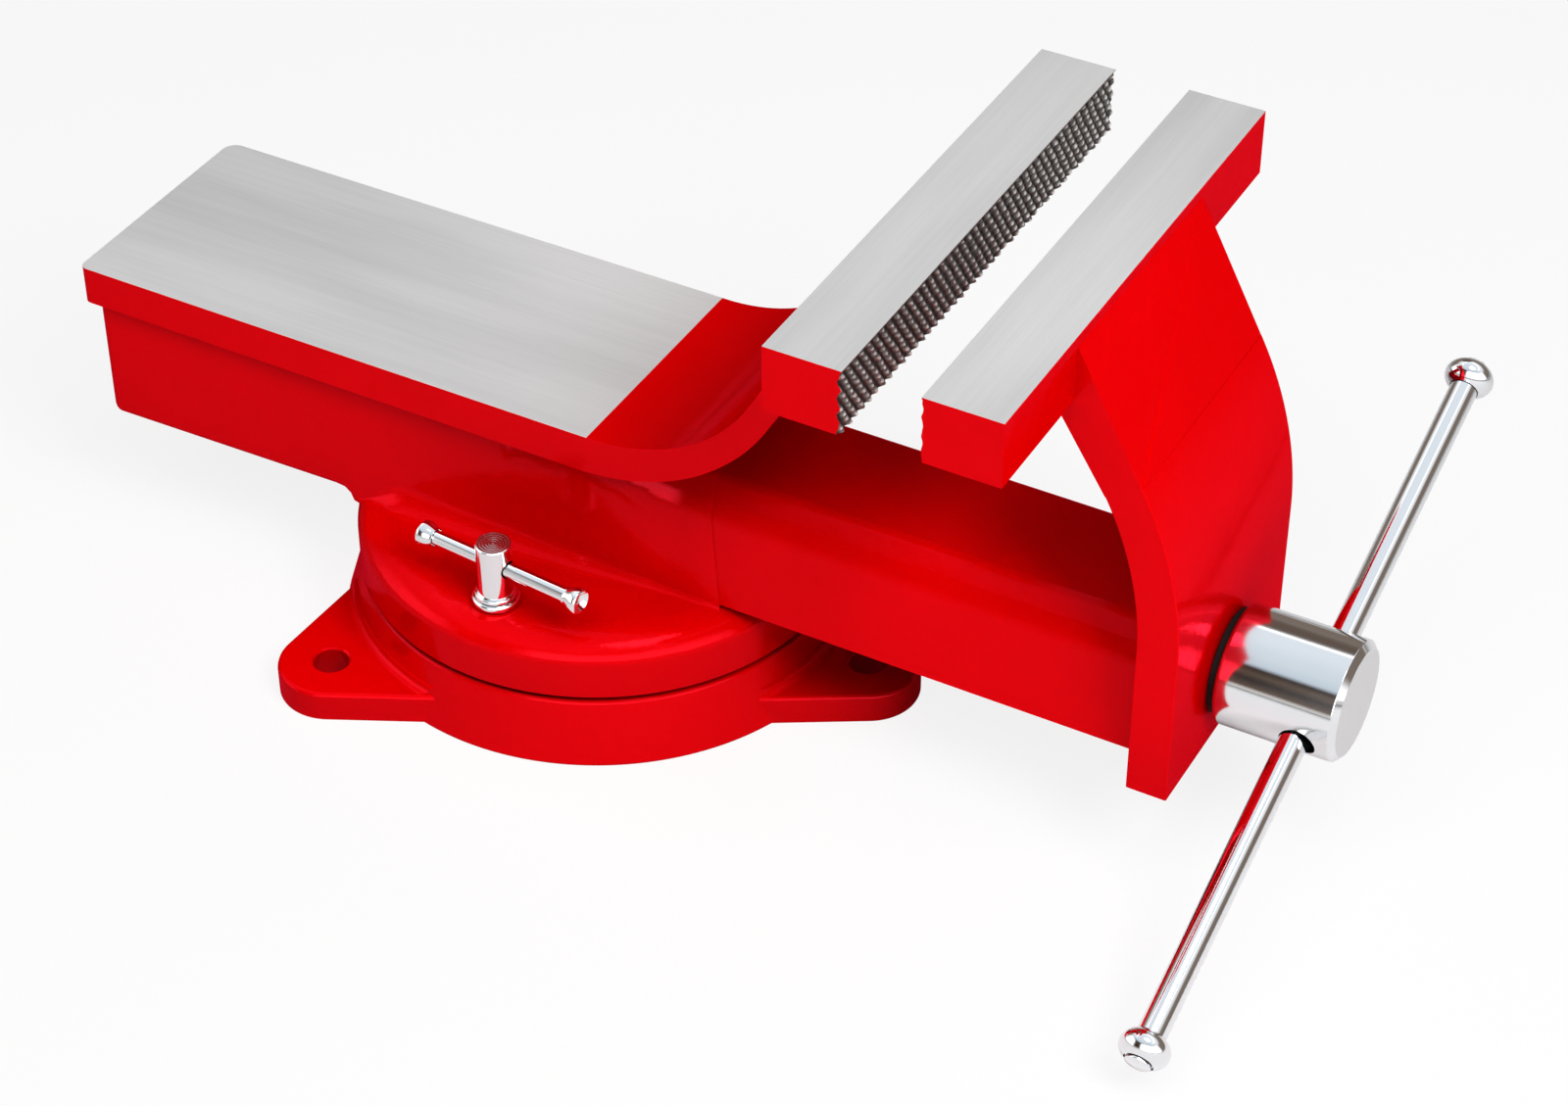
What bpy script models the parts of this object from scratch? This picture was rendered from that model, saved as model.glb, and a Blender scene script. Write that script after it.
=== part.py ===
# Swivel bench vise with 200 mm toothed jaws, modelled in metres.
# The origin is on the swivel axis at the underside of the base. +Z is up, and the moving jaw
# opens along +X. The jaws stand a little open, and the handle leans as it was left.

import math

import bmesh
import bpy
from mathutils import Matrix, Vector

# Clearances, and the overrun of cuts
fit_gap = 0.0003
bolt_gap = 0.0005
slide_gap = 0.0004
swivel_gap = 0.0007
overrun = 0.002

# Steps of round shapes, and angles that tell edges apart
round_steps = 48
middle_steps = 32
small_steps = 16
pin_steps = 12
arc_steps = 7
lug_steps = 12
disc_edge_steps = 6
foot_steps = 5
edge_steps = 4
fine_edge_steps = 2
corner_steps = 3
knob_steps = 10
flat_turn = math.radians(0.5)
crease_turn = math.radians(30)
sharp_turn = math.radians(60)
merge_share = 0.00004

# Swivel disc and base ring, from the bench up
base_height = 0.0246
base_flare = 0.0065
base_edge_radius = 0.0012
disc_radius = 0.0903
disc_thickness = 0.0247
disc_edge_radius = 0.010
disc_bottom = base_height + swivel_gap
disc_top = disc_bottom + disc_thickness
base_bottom_radius = disc_radius + base_flare

# Three bolt lugs on the base, one in front and two that spread back from it
lug_spread = math.radians(123.2)
lug_reach = 0.0140
lug_radius = 0.0195
lug_flare = math.radians(30.5)
lug_thickness = 0.012
lug_hole_radius = 0.0065
lug_circle = base_bottom_radius + lug_reach

# Pivot pin between base and disc
pivot_radius = 0.010
pivot_socket_depth = 0.014

# Slide, an upturned channel that runs inside the housing
slide_lift = 0.0012
slide_height = 0.0446
slide_length = 0.4021
slide_top_half = 0.023
slide_shoulder_half = 0.0325
slide_shoulder_drop = 0.0095
slide_bottom_half = 0.0387
slide_wall = 0.0068
slide_corner = 0.008
slide_bottom = disc_top + slide_lift
slide_top = slide_bottom + slide_height

# Housing around the slide. Its sides narrow to a thin lip, nearly flush with the slide.
housing_wall = 0.0068
housing_lip = 0.0011
housing_roof = 0.00325
housing_skirt = 0.002
housing_front = 0.0715
housing_front_lean = 0.009
housing_edge_radius = 0.004
foot_radius = 0.008
housing_rear_half = slide_bottom_half + housing_wall
housing_front_half = slide_bottom_half + slide_gap + housing_lip

# Anvil and neck, plates of one width with the arm
plate_width = 0.096
plate_lean = math.radians(28.2)
plate_corner = 0.0055
plate_root_share = 0.33
plate_root_rise_share = 0.08
anvil_thickness = 0.0153
anvil_rear = 0.193
anvil_overhang = 0.0041
neck_thickness = 0.0097
neck_top_radius = 0.072
neck_under_radius = 0.088
neck_drop = 0.0062
anvil_top = slide_top + housing_roof + anvil_thickness
housing_rear = anvil_rear - anvil_overhang

# Toothed jaw bars
jaw_width = 0.200
jaw_thickness = 0.028
jaw_height = 0.0246
jaw_rise = 0.10565
jaw_face = 0.1508
jaw_opening = 0.0274
jaw_edge_radius = 0.0012
tooth_depth = 0.0016
tooth_pitch = 0.005
tooth_rows = 4
tooth_slant = math.radians(11)
jaw_top = anvil_top + jaw_rise
moving_face = jaw_face + jaw_opening

# Arm of the moving jaw
arm_reach = 0.0699
arm_thickness = 0.0149
arm_radius = 0.141
arm_foot = 0.0087
arm_drop = 0.0043
arm_edge_radius = 0.0015
arm_front = moving_face + arm_reach
arm_bottom = slide_bottom - arm_foot
slide_rear = arm_front - slide_length

# Main screw
screw_lift = 0.0193
screw_lead = 0.006
thread_radius = 0.013
thread_depth = 0.003
thread_crest_share = 0.37
thread_flank = math.radians(15)
thread_steps = 10
nut_thread_steps = 16
thread_length = 0.247
journal_length = 0.1501
journal_step = 0.0002
thrust_washer_rim = 0.0058
thrust_washer_thickness = 0.0021
screw_head_radius = 0.0217
screw_head_length = 0.0441
screw_head_chamfer = 0.0022
screw_head_fillet = 0.0016
screw_height = disc_top + screw_lift
journal_radius = thread_radius + journal_step
thread_front = arm_front - journal_length
thread_rear = thread_front - thread_length
screw_head_rear = arm_front + thrust_washer_thickness + 2 * fit_gap
screw_head_end = screw_head_rear + screw_head_length

# Collar and cross pin that keep the screw in the arm
collar_rim = 0.0046
collar_length = 0.0110
collar_pin_radius = 0.0025
collar_radius = journal_radius + collar_rim
collar_middle = arm_front - arm_thickness - fit_gap - collar_length / 2

# Main nut on the disc, and the two screws that hold it from below
nut_rear = 0.015
nut_length = 0.045
nut_half = 0.0215
nut_crown_half = 0.014
nut_crown_drop = 0.0148
nut_headroom = 0.0022
nut_thread_gap = 0.00045
nut_screw_inset = 0.006
nut_screw_reach = 0.0085
nut_screw_radius = 0.004
nut_screw_head_radius = 0.0065
nut_screw_head_height = 0.0075
nut_screw_socket_radius = 0.0034
nut_screw_socket_depth = 0.0045
nut_top = slide_top - slide_wall - nut_headroom
nut_middle = nut_rear + nut_length / 2
nut_screw_offset = nut_half - nut_screw_inset
nut_screw_top = disc_top + nut_screw_reach

# Lock screws and their clamp nuts in the base's T-slot ring
lock_inset = 0.0172
lock_shank_radius = 0.005
lock_shank_lift = 0.0011
lock_collar_radius = 0.0076
lock_collar_height = 0.0014
lock_head_radius = 0.0065
lock_head_over_bar = 0.0093
lock_washer_radius = 0.0087
lock_washer_height = 0.0030
lock_edge_share = 0.33
clamp_nut_half = 0.0082
clamp_nut_height = 0.0075
slot_mouth_depth = 0.0074
slot_mouth_play = 0.0007
slot_play = 0.0013
slot_room = 0.0010
lock_circle = disc_radius - lock_inset
slot_mouth_half = lock_shank_radius + slot_mouth_play
slot_half = clamp_nut_half + slot_play
slot_depth = slot_mouth_depth + clamp_nut_height + slot_room
lock_washer_bottom = disc_top + fit_gap
lock_head_bottom = lock_washer_bottom + lock_washer_height + fit_gap

# Recess cast into the underside of the base, inside the T-slot ring
base_core_inner = 0.034
base_core_depth = 0.0115
base_core_rib = 0.0066
base_core_outer = lock_circle - slot_half - base_core_rib

# Tommy bars through the lock screws, with a cup-shaped knob at each end. The knob's outline runs
# from the middle of its dish to its narrow end, in shares of its radius and of its length.
lock_bar_rise = 0.0167
lock_bar_turn = math.radians(5.5)
lock_bar_rear = 0.0295
lock_bar_front = 0.0355
lock_bar_radius = 0.0028
lock_knob_radius = 0.0048
lock_knob_length = 0.0056
lock_knob_shares = ((0, 0.62), (0.45, 0.68), (0.8, 1), (0.93, 0.98), (1, 0.86), (0.93, 0.45), (0.80, 0.16))
lock_knob_lip_share = 0.1
lock_knob_seat_share = 0.34
bar_edge_share = 0.25
lock_bar_height = disc_top + lock_bar_rise

# Handle through the screw's head. It lies against the rear side of its hole.
handle_setback = 0.0300
handle_angle = math.radians(69.5)
handle_radius = 0.005
handle_hole_radius = 0.0065
handle_up = 0.1362
handle_down = 0.1429
handle_knob_radius = 0.0088
handle_knob_length = 0.0125
handle_rivet_height = 0.0018
handle_along = screw_head_rear + handle_setback
handle_hole_shift = handle_hole_radius - handle_radius - fit_gap

partName = "swivel_bench_vise"
partCollection = None
cutterCollection = None


def clearScene():
    for old in list(bpy.data.objects):
        bpy.data.objects.remove(old, do_unlink=True)


def newCollection(name):
    collection = bpy.data.collections.new(name)
    bpy.context.scene.collection.children.link(collection)
    return collection


def paint(name, colour, roughness, metallic):
    material = bpy.data.materials.new(name)
    material.use_nodes = True
    shader = material.node_tree.nodes["Principled BSDF"]
    shader.inputs["Base Color"].default_value = (*colour, 1)
    shader.inputs["Roughness"].default_value = roughness
    shader.inputs["Metallic"].default_value = metallic
    material.diffuse_color = (*colour, 1)
    return material


def meshObject(name, bm, material=None):
    mesh = bpy.data.meshes.new(name)
    bmesh.ops.recalc_face_normals(bm, faces=bm.faces)
    if bm.calc_volume(signed=True) < 0:
        bmesh.ops.reverse_faces(bm, faces=bm.faces)
    bm.to_mesh(mesh)
    bm.free()
    solid = bpy.data.objects.new(name, mesh)
    if material is None:
        cutterCollection.objects.link(solid)
        solid.hide_render = True
        solid.display_type = "WIRE"
    else:
        partCollection.objects.link(solid)
        mesh.materials.append(material)
    return solid


def boolean(target, other, operation):
    modifier = target.modifiers.new(f"{operation.lower()} {other.name}", "BOOLEAN")
    modifier.operation = operation
    modifier.solver = "EXACT"
    modifier.object = other


def join(target, other):
    boolean(target, other, "UNION")


def cut(target, other):
    boolean(target, other, "DIFFERENCE")


def smooth(solid):
    solid.data.shade_smooth()
    solid.data.set_sharp_from_angle(angle=crease_turn)


def arc(centre, radius, start, end, steps=arc_steps):
    points = []
    for step in range(steps + 1):
        angle = start + (end - start) * step / steps
        points.append((centre[0] + radius * math.cos(angle), centre[1] + radius * math.sin(angle)))
    return points


def plate(name, points, depth, matrix):
    """A flat outline as a filled 2D curve, extruded and turned into a mesh."""
    curve = bpy.data.curves.new(name, "CURVE")
    curve.dimensions = "2D"
    curve.fill_mode = "BOTH"
    curve.extrude = depth / 2
    spline = curve.splines.new("POLY")
    spline.points.add(len(points) - 1)
    for place, point in zip(spline.points, points):
        place.co = (point[0], point[1], 0, 1)
    spline.use_cyclic_u = True
    guide = bpy.data.objects.new(name, curve)
    cutterCollection.objects.link(guide)
    bpy.context.view_layer.update()
    shape = guide.evaluated_get(bpy.context.evaluated_depsgraph_get())
    mesh = bpy.data.meshes.new_from_object(shape)
    bm = bmesh.new()
    bm.from_mesh(mesh)
    bpy.data.objects.remove(guide, do_unlink=True)
    bpy.data.meshes.remove(mesh)
    bmesh.ops.remove_doubles(bm, verts=bm.verts, dist=depth * merge_share)
    bmesh.ops.dissolve_limit(bm, angle_limit=flat_turn, verts=bm.verts, edges=bm.edges)
    bm.transform(matrix)
    return bm


def sidePlate(name, points, width):
    """An outline in X and Z, extruded evenly to both sides of Y = 0."""
    return plate(name, points, width, Matrix.Rotation(math.radians(90), 4, "X"))


def crossPlate(name, points, rear, front):
    """An outline in Y and Z, extruded along X from rear to front."""
    turn = Matrix(((0, 0, 1, 0), (1, 0, 0, 0), (0, 1, 0, 0), (0, 0, 0, 1)))
    middle = Matrix.Translation(((rear + front) / 2, 0, 0))
    return plate(name, points, front - rear, middle @ turn)


def flatPlate(name, points, bottom, top):
    """An outline in X and Y, extruded up from bottom to top."""
    return plate(name, points, top - bottom, Matrix.Translation((0, 0, (bottom + top) / 2)))


def turnedMesh(profile, steps):
    """A closed solid turned about Z from a profile of (radius, height), top to bottom."""
    bm = bmesh.new()
    verts = [bm.verts.new((radius, 0, height)) for radius, height in profile]
    edges = [bm.edges.new(pair) for pair in zip(verts, verts[1:])]
    largest = max(radius for radius, height in profile)
    bmesh.ops.spin(bm, geom=verts + edges, cent=(0, 0, 0), axis=(0, 0, 1), angle=math.tau,
                   steps=steps, use_duplicate=False)
    bmesh.ops.remove_doubles(bm, verts=bm.verts, dist=largest * merge_share)
    return bm


def turned(name, profile, steps, material=None, place=None):
    """A turned piece with a Screw modifier on its profile, placed by a matrix."""
    largest = max(radius for radius, height in profile)
    bm = bmesh.new()
    verts = [bm.verts.new((radius, 0, height)) for radius, height in profile]
    for pair in zip(verts, verts[1:]):
        bm.edges.new(pair)
    if profile[0] == profile[-1]:
        bmesh.ops.pointmerge(bm, verts=[verts[0], verts[-1]], merge_co=verts[0].co)
    solid = meshObject(name, bm, material)
    solid.matrix_world = place or Matrix()
    screw = solid.modifiers.new("turn", "SCREW")
    screw.axis = "Z"
    screw.steps = steps
    screw.render_steps = steps
    screw.use_merge_vertices = True
    screw.merge_threshold = largest * merge_share
    screw.use_smooth_shade = True
    return solid


def rod(name, radius, length, place, steps=small_steps, material=None):
    """A plain cylinder from its own origin up its own Z, placed by a matrix."""
    bm = bmesh.new()
    bmesh.ops.create_cone(bm, cap_ends=True, segments=steps, radius1=radius, radius2=radius,
                          depth=length, matrix=Matrix.Translation((0, 0, length / 2)))
    solid = meshObject(name, bm, material)
    solid.matrix_world = place
    return solid


def along(point, direction):
    """A matrix at a point whose Z follows a direction."""
    turn = Vector(direction).to_track_quat("Z", "Y").to_matrix().to_4x4()
    return Matrix.Translation(point) @ turn


def setOrigin(solid, point):
    """Move an object's origin to a point without moving its shape."""
    shift = solid.matrix_world.inverted() @ Vector(point)
    solid.data.transform(Matrix.Translation(-shift))
    solid.matrix_world = solid.matrix_world @ Matrix.Translation(shift)


def edgesAt(bm, test):
    return [edge for edge in bm.edges if all(test(vert.co) for vert in edge.verts)]


def roundEdges(bm, edges, radius, segments=edge_steps):
    bmesh.ops.bevel(bm, geom=edges, offset=radius, offset_type="OFFSET", segments=segments,
                    profile=0.5, affect="EDGES", clamp_overlap=True, material=-1)


# Toothed jaw bar: a sheared grid of poked cells, cut square at both ends and drawn back into a bar
def jawBar(name, facing, face):
    bm = bmesh.new()
    shear = math.tan(tooth_slant)
    columns = math.ceil((jaw_width + 2 * jaw_height * shear) / tooth_pitch) + 2
    bmesh.ops.create_grid(bm, x_segments=columns, y_segments=tooth_rows, size=0.5)
    for vert in bm.verts:
        across = vert.co.x * columns * tooth_pitch
        down = vert.co.y * jaw_height
        vert.co = (-tooth_depth, across + down * shear, down)
    bmesh.ops.recalc_face_normals(bm, faces=bm.faces)
    if bm.faces[0].normal.x < 0:
        bmesh.ops.reverse_faces(bm, faces=bm.faces)
    bmesh.ops.poke(bm, faces=bm.faces[:], offset=tooth_depth)
    for side in (-1, 1):
        everything = bm.verts[:] + bm.edges[:] + bm.faces[:]
        bmesh.ops.bisect_plane(bm, geom=everything, plane_co=(0, side * jaw_width / 2, 0),
                               plane_no=(0, side, 0), clear_outer=True, dist=jaw_width * merge_share)
    rim = [edge for edge in bm.edges if edge.is_boundary]
    drawn = bmesh.ops.extrude_edge_only(bm, edges=rim)["geom"]
    for vert in drawn:
        if isinstance(vert, bmesh.types.BMVert):
            vert.co.x = -jaw_thickness
    rim = [edge for edge in bm.edges if edge.is_boundary]
    bmesh.ops.holes_fill(bm, edges=rim, sides=0)
    bmesh.ops.recalc_face_normals(bm, faces=bm.faces)
    backEdges = edgesAt(bm, lambda co: abs(co.x + jaw_thickness) < jaw_thickness * merge_share)
    backEdges = [edge for edge in backEdges if edge.calc_face_angle(0) > sharp_turn]
    roundEdges(bm, backEdges, jaw_edge_radius, fine_edge_steps)
    if facing < 0:
        bm.transform(Matrix.Rotation(math.pi, 4, "Z"))
    bm.transform(Matrix.Translation((face, 0, jaw_top - jaw_height / 2)))
    return meshObject(name, bm)


# Centre of an arc that is tangent to a level floor and to the leaning line of the neck
def neckBend(linePoint, floor, radius):
    height = floor + radius
    lean = (height - linePoint[1]) * math.sin(plate_lean)
    return (linePoint[0] - (radius - lean) / math.cos(plate_lean), height)


# Anvil plate and neck in one side outline, from the rear of the anvil up to the back of the jaw
def anvilAndNeck():
    back = jaw_face - jaw_thickness
    topPoint = (back, jaw_top - neck_drop)
    underPoint = (back + neck_thickness * math.cos(plate_lean),
                  topPoint[1] - neck_thickness * math.sin(plate_lean))
    inward = jaw_thickness * plate_root_share
    reach = (inward * math.sin(plate_lean), jaw_thickness * plate_root_rise_share)
    topBend = neckBend(topPoint, anvil_top, neck_top_radius)
    underside = anvil_top - anvil_thickness
    underBend = neckBend(underPoint, underside, neck_under_radius)
    outline = [(-anvil_rear, anvil_top), (-anvil_rear, underside)]
    outline += arc(underBend, neck_under_radius, math.radians(-90), -plate_lean)
    outline += [(underPoint[0] + reach[0], underPoint[1] + reach[1]), (back + inward, topPoint[1])]
    outline += [topPoint]
    outline += reversed(arc(topBend, neck_top_radius, math.radians(-90), -plate_lean))
    bm = sidePlate("anvil_and_neck", outline, plate_width)
    rearEdges = edgesAt(bm, lambda co: co.x < -anvil_rear + plate_corner / 2)
    rearEdges = [edge for edge in rearEdges if abs(edge.verts[0].co.z - edge.verts[1].co.z) > 0]
    roundEdges(bm, rearEdges, plate_corner)
    return meshObject("anvil_and_neck", bm)


# Curved arm of the moving jaw in one side outline
def movingArm():
    topPoint = (moving_face + jaw_thickness, jaw_top - arm_drop)
    centreX = arm_front - arm_radius
    acrossLean = (topPoint[0] - centreX) * math.cos(plate_lean)
    centreZ = topPoint[1] + (acrossLean - arm_radius) / math.sin(plate_lean)
    centre = (centreX, centreZ)
    innerRadius = arm_radius - arm_thickness
    inside = (topPoint[0] - arm_thickness * math.cos(plate_lean),
              topPoint[1] - arm_thickness * math.sin(plate_lean))
    inward = jaw_thickness * plate_root_share
    outline = [(arm_front, arm_bottom)]
    outline += arc(centre, arm_radius, 0, plate_lean)
    outline += [topPoint, (topPoint[0] - inward, topPoint[1])]
    outline += [(inside[0] - inward * math.sin(plate_lean), inside[1])]
    outline += reversed(arc(centre, innerRadius, 0, plate_lean))
    outline += [(arm_front - arm_thickness, arm_bottom)]
    bm = sidePlate("moving_arm", outline, plate_width)
    bottomEdges = edgesAt(bm, lambda co: co.z < arm_bottom + arm_edge_radius)
    roundEdges(bm, bottomEdges, arm_edge_radius, fine_edge_steps)
    return bm


# Corner between two straight edges, moved out by a distance from both of them
def offsetCorner(before, corner, after, distance):
    first = (corner - before).normalized()
    second = (after - corner).normalized()
    normals = Vector((first.y, -first.x)) + Vector((second.y, -second.x))
    return corner + normals * distance * 2 / normals.length_squared


# Rounded corner as a quadratic curve between points at the blend's length from it
def blendCorner(before, corner, after, blend):
    start = corner + (before - corner).normalized() * blend
    end = corner + (after - corner).normalized() * blend
    points = []
    for step in range(corner_steps + 1):
        share = step / corner_steps
        bent = start.lerp(corner, share).lerp(corner.lerp(end, share), share)
        points.append((bent.x, bent.y))
    return points


# Half outline of the slide in Y and Z, grown by a distance, from its foot to the top's corner
def slideHalf(grow):
    foot = Vector((slide_bottom_half, slide_bottom))
    shoulder = Vector((slide_shoulder_half, slide_top - slide_shoulder_drop))
    crown = Vector((slide_top_half, slide_top))
    middle = Vector((0, slide_top))
    outerShoulder = offsetCorner(foot, shoulder, crown, grow)
    outerCrown = offsetCorner(shoulder, crown, middle, grow)
    outerFoot = Vector((foot.x + outerShoulder.x - shoulder.x, slide_bottom))
    outerMiddle = Vector((0, outerCrown.y))
    points = [tuple(outerFoot)]
    points += blendCorner(outerFoot, outerShoulder, outerCrown, slide_corner / 2)
    points += blendCorner(outerShoulder, outerCrown, outerMiddle, slide_corner / 2)
    return points


def mirrored(half):
    return half + [(-across, up) for across, up in reversed(half)]


# Channel section of the slide: its outside, then its inside one wall further in
def slideSection():
    outside = mirrored(slideHalf(0))
    inside = mirrored(slideHalf(-slide_wall))
    return outside + list(reversed(inside))


# Housing section: square outside, and inside it the slide's outline with its running gap
def housingSection():
    roof = anvil_top - anvil_thickness / 2
    floor = disc_top - housing_skirt
    hollow = slideHalf(slide_gap)
    inside = mirrored([(hollow[0][0], floor)] + hollow)
    half = housing_rear_half
    outside = [(half, floor), (half, roof), (-half, roof), (-half, floor)]
    return outside + list(reversed(inside))


# Half width of the housing, which narrows towards its front
def housingHalf(along):
    share = (housing_front - along) / (housing_front + housing_rear)
    return housing_front_half + (housing_rear_half - housing_front_half) * share


def housing():
    bm = crossPlate("housing", housingSection(), -housing_rear, housing_front)
    height = anvil_top - anvil_thickness - disc_top
    for vert in bm.verts:
        if vert.co.x > 0:
            vert.co.x -= housing_front_lean * max(vert.co.z - disc_top, 0) / height
        if abs(vert.co.y) > housing_rear_half * (1 - merge_share):
            vert.co.y = math.copysign(housingHalf(vert.co.x), vert.co.y)
    limit = housing_rear_half * (1 - merge_share)
    corners = [edge for edge in edgesAt(bm, lambda co: co.x < 0 and abs(co.y) > limit)
               if abs(edge.verts[0].co.z - edge.verts[1].co.z) > height / 2]
    roundEdges(bm, corners, housing_edge_radius)
    return meshObject("housing", bm)


# Fillets where the housing's sides stand on the disc
def footFillets():
    fillets = []
    half = housingHalf(0)
    reach = math.sqrt((disc_radius - disc_edge_radius) ** 2 - (half + foot_radius) ** 2)
    for side in (-1, 1):
        wall = side * (half - overrun / 2)
        centre = (side * (half + foot_radius), disc_top + foot_radius)
        start = math.radians(180) if side > 0 else 0
        end = math.radians(270) if side > 0 else math.radians(-90)
        outline = arc(centre, foot_radius, start, end, foot_steps)
        outline += [(centre[0], disc_top - overrun), (wall, disc_top - overrun), (wall, centre[1])]
        name = "foot_left" if side > 0 else "foot_right"
        bm = crossPlate(name, outline, -reach, reach)
        for vert in bm.verts:
            vert.co.y += side * (housingHalf(vert.co.x) - half)
        fillets.append(meshObject(name, bm))
    return fillets


def lockPlaces():
    return (("near", -lock_circle), ("far", lock_circle))


def fixedBody(material):
    bottom = disc_bottom
    chamfer = swivel_gap
    profile = [(0, disc_top)]
    profile += reversed(arc((disc_radius - disc_edge_radius, disc_top - disc_edge_radius),
                            disc_edge_radius, 0, math.radians(90), disc_edge_steps))
    profile += [(disc_radius, bottom + chamfer), (disc_radius - chamfer, bottom), (0, bottom)]
    body = meshObject("fixed_body", turnedMesh(profile, round_steps), material)
    join(body, housing())
    join(body, anvilAndNeck())
    join(body, jawBar("fixed_bar", 1, jaw_face))
    for fillet in footFillets():
        join(body, fillet)
    through = disc_top - bottom + 2 * overrun
    for label, across in lockPlaces():
        place = Matrix.Translation((0, across, bottom - overrun))
        cut(body, rod(f"lock_hole_{label}", lock_shank_radius + bolt_gap, through, place))
    pivotHole = pivot_radius + fit_gap
    cut(body, rod("pivot_hole", pivotHole, through, Matrix.Translation((0, 0, bottom - overrun))))
    for label, across in nutScrewPlaces():
        place = Matrix.Translation((nut_middle, across, bottom - overrun))
        cut(body, rod(f"nut_hole_{label}", nut_screw_radius + bolt_gap, through, place))
        depth = nut_screw_head_height + swivel_gap + overrun
        cut(body, rod(f"nut_sink_{label}", nut_screw_head_radius + bolt_gap, depth, place))
    return body


def swivelBase(material):
    top = base_height
    inner = lock_circle - slot_mouth_half
    outer = lock_circle + slot_mouth_half
    ledge = top - slot_mouth_depth
    floor = top - slot_depth
    socket = pivot_radius + fit_gap
    edge = base_edge_radius
    profile = [(0, top - pivot_socket_depth), (socket, top - pivot_socket_depth), (socket, top)]
    profile += [(inner, top), (inner, ledge), (lock_circle - slot_half, ledge)]
    profile += [(lock_circle - slot_half, floor), (lock_circle + slot_half, floor)]
    profile += [(lock_circle + slot_half, ledge), (outer, ledge), (outer, top)]
    profile += [(disc_radius - edge, top), (disc_radius, top - edge)]
    profile += [(base_bottom_radius, edge), (base_bottom_radius - edge, 0)]
    profile += [(base_core_outer, 0), (base_core_outer, base_core_depth)]
    profile += [(base_core_inner, base_core_depth), (base_core_inner, 0), (0, 0)]
    base = meshObject("swivel_base", turnedMesh(profile, round_steps), material)
    for label, angle in lugTurns():
        join(base, lug(f"lug_{label}", Matrix.Rotation(angle, 4, "Z")))
    for label, angle in lugTurns():
        place = Matrix.Rotation(angle, 4, "Z") @ Matrix.Translation((lug_circle, 0, -overrun))
        cut(base, rod(f"lug_hole_{label}", lug_hole_radius, lug_thickness + 2 * overrun, place))
    return base


def lugTurns():
    return (("front", 0), ("far", lug_spread), ("near", -lug_spread))


# One bolt lug: a round end with straight flanks that run on until they meet a circle in the ring
def lug(name, turn):
    tip = math.radians(90) - lug_flare
    root = disc_radius - base_edge_radius
    flankEnd = Vector((lug_circle + lug_radius * math.cos(tip), lug_radius * math.sin(tip)))
    inward = Vector((-math.cos(lug_flare), math.sin(lug_flare)))
    nearest = -flankEnd.dot(inward)
    run = nearest - math.sqrt(max(root ** 2 - flankEnd.length_squared + nearest ** 2, 0))
    flankRoot = flankEnd + inward * run
    spread = math.atan2(flankRoot.y, flankRoot.x)
    outline = arc((lug_circle, 0), lug_radius, -tip, tip, lug_steps)
    outline += arc((0, 0), root, spread, -spread, edge_steps)
    bm = flatPlate(name, outline, 0, lug_thickness)
    bm.transform(turn)
    return meshObject(name, bm)


def nutScrewPlaces():
    return (("near", -nut_screw_offset), ("far", nut_screw_offset))


# Screw thread: one pitch of the tooth outline spun along the axis, then cut square at both ends.
# Its crests are a whole number of leads from the origin, so that a nut meshes with its screw.
def threadBody(core, crest, crestLength, rear, front, steps):
    half = crestLength / 2
    slope = (crest - core) * math.tan(thread_flank)
    turns = math.ceil((front - rear) / screw_lead) + 3
    start = (math.floor(rear / screw_lead) - 1) * screw_lead
    outline = [(-half - slope, core), (-half, crest), (half, crest), (half + slope, core)]
    outline.append((screw_lead - half - slope, core))
    bm = bmesh.new()
    verts = [bm.verts.new((start + forward, 0, radius)) for forward, radius in outline]
    edges = [bm.edges.new(pair) for pair in zip(verts, verts[1:])]
    bmesh.ops.spin(bm, geom=verts + edges, cent=(0, 0, 0), axis=(1, 0, 0), angle=math.tau * turns,
                   dvec=(screw_lead / steps, 0, 0), steps=steps * turns, use_duplicate=False)
    bmesh.ops.remove_doubles(bm, verts=bm.verts, dist=crest * merge_share)
    for place, side in ((rear, -1), (front, 1)):
        everything = bm.verts[:] + bm.edges[:] + bm.faces[:]
        bmesh.ops.bisect_plane(bm, geom=everything, plane_co=(place, 0, 0), plane_no=(side, 0, 0),
                               clear_outer=True, dist=crest * merge_share)
        rim = [edge for edge in bm.edges if edge.is_boundary
               and all(abs(vert.co.x - place) < crest * merge_share for vert in edge.verts)]
        bmesh.ops.holes_fill(bm, edges=rim, sides=0)
    bm.transform(Matrix.Translation((0, 0, screw_height)))
    return bm


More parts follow.
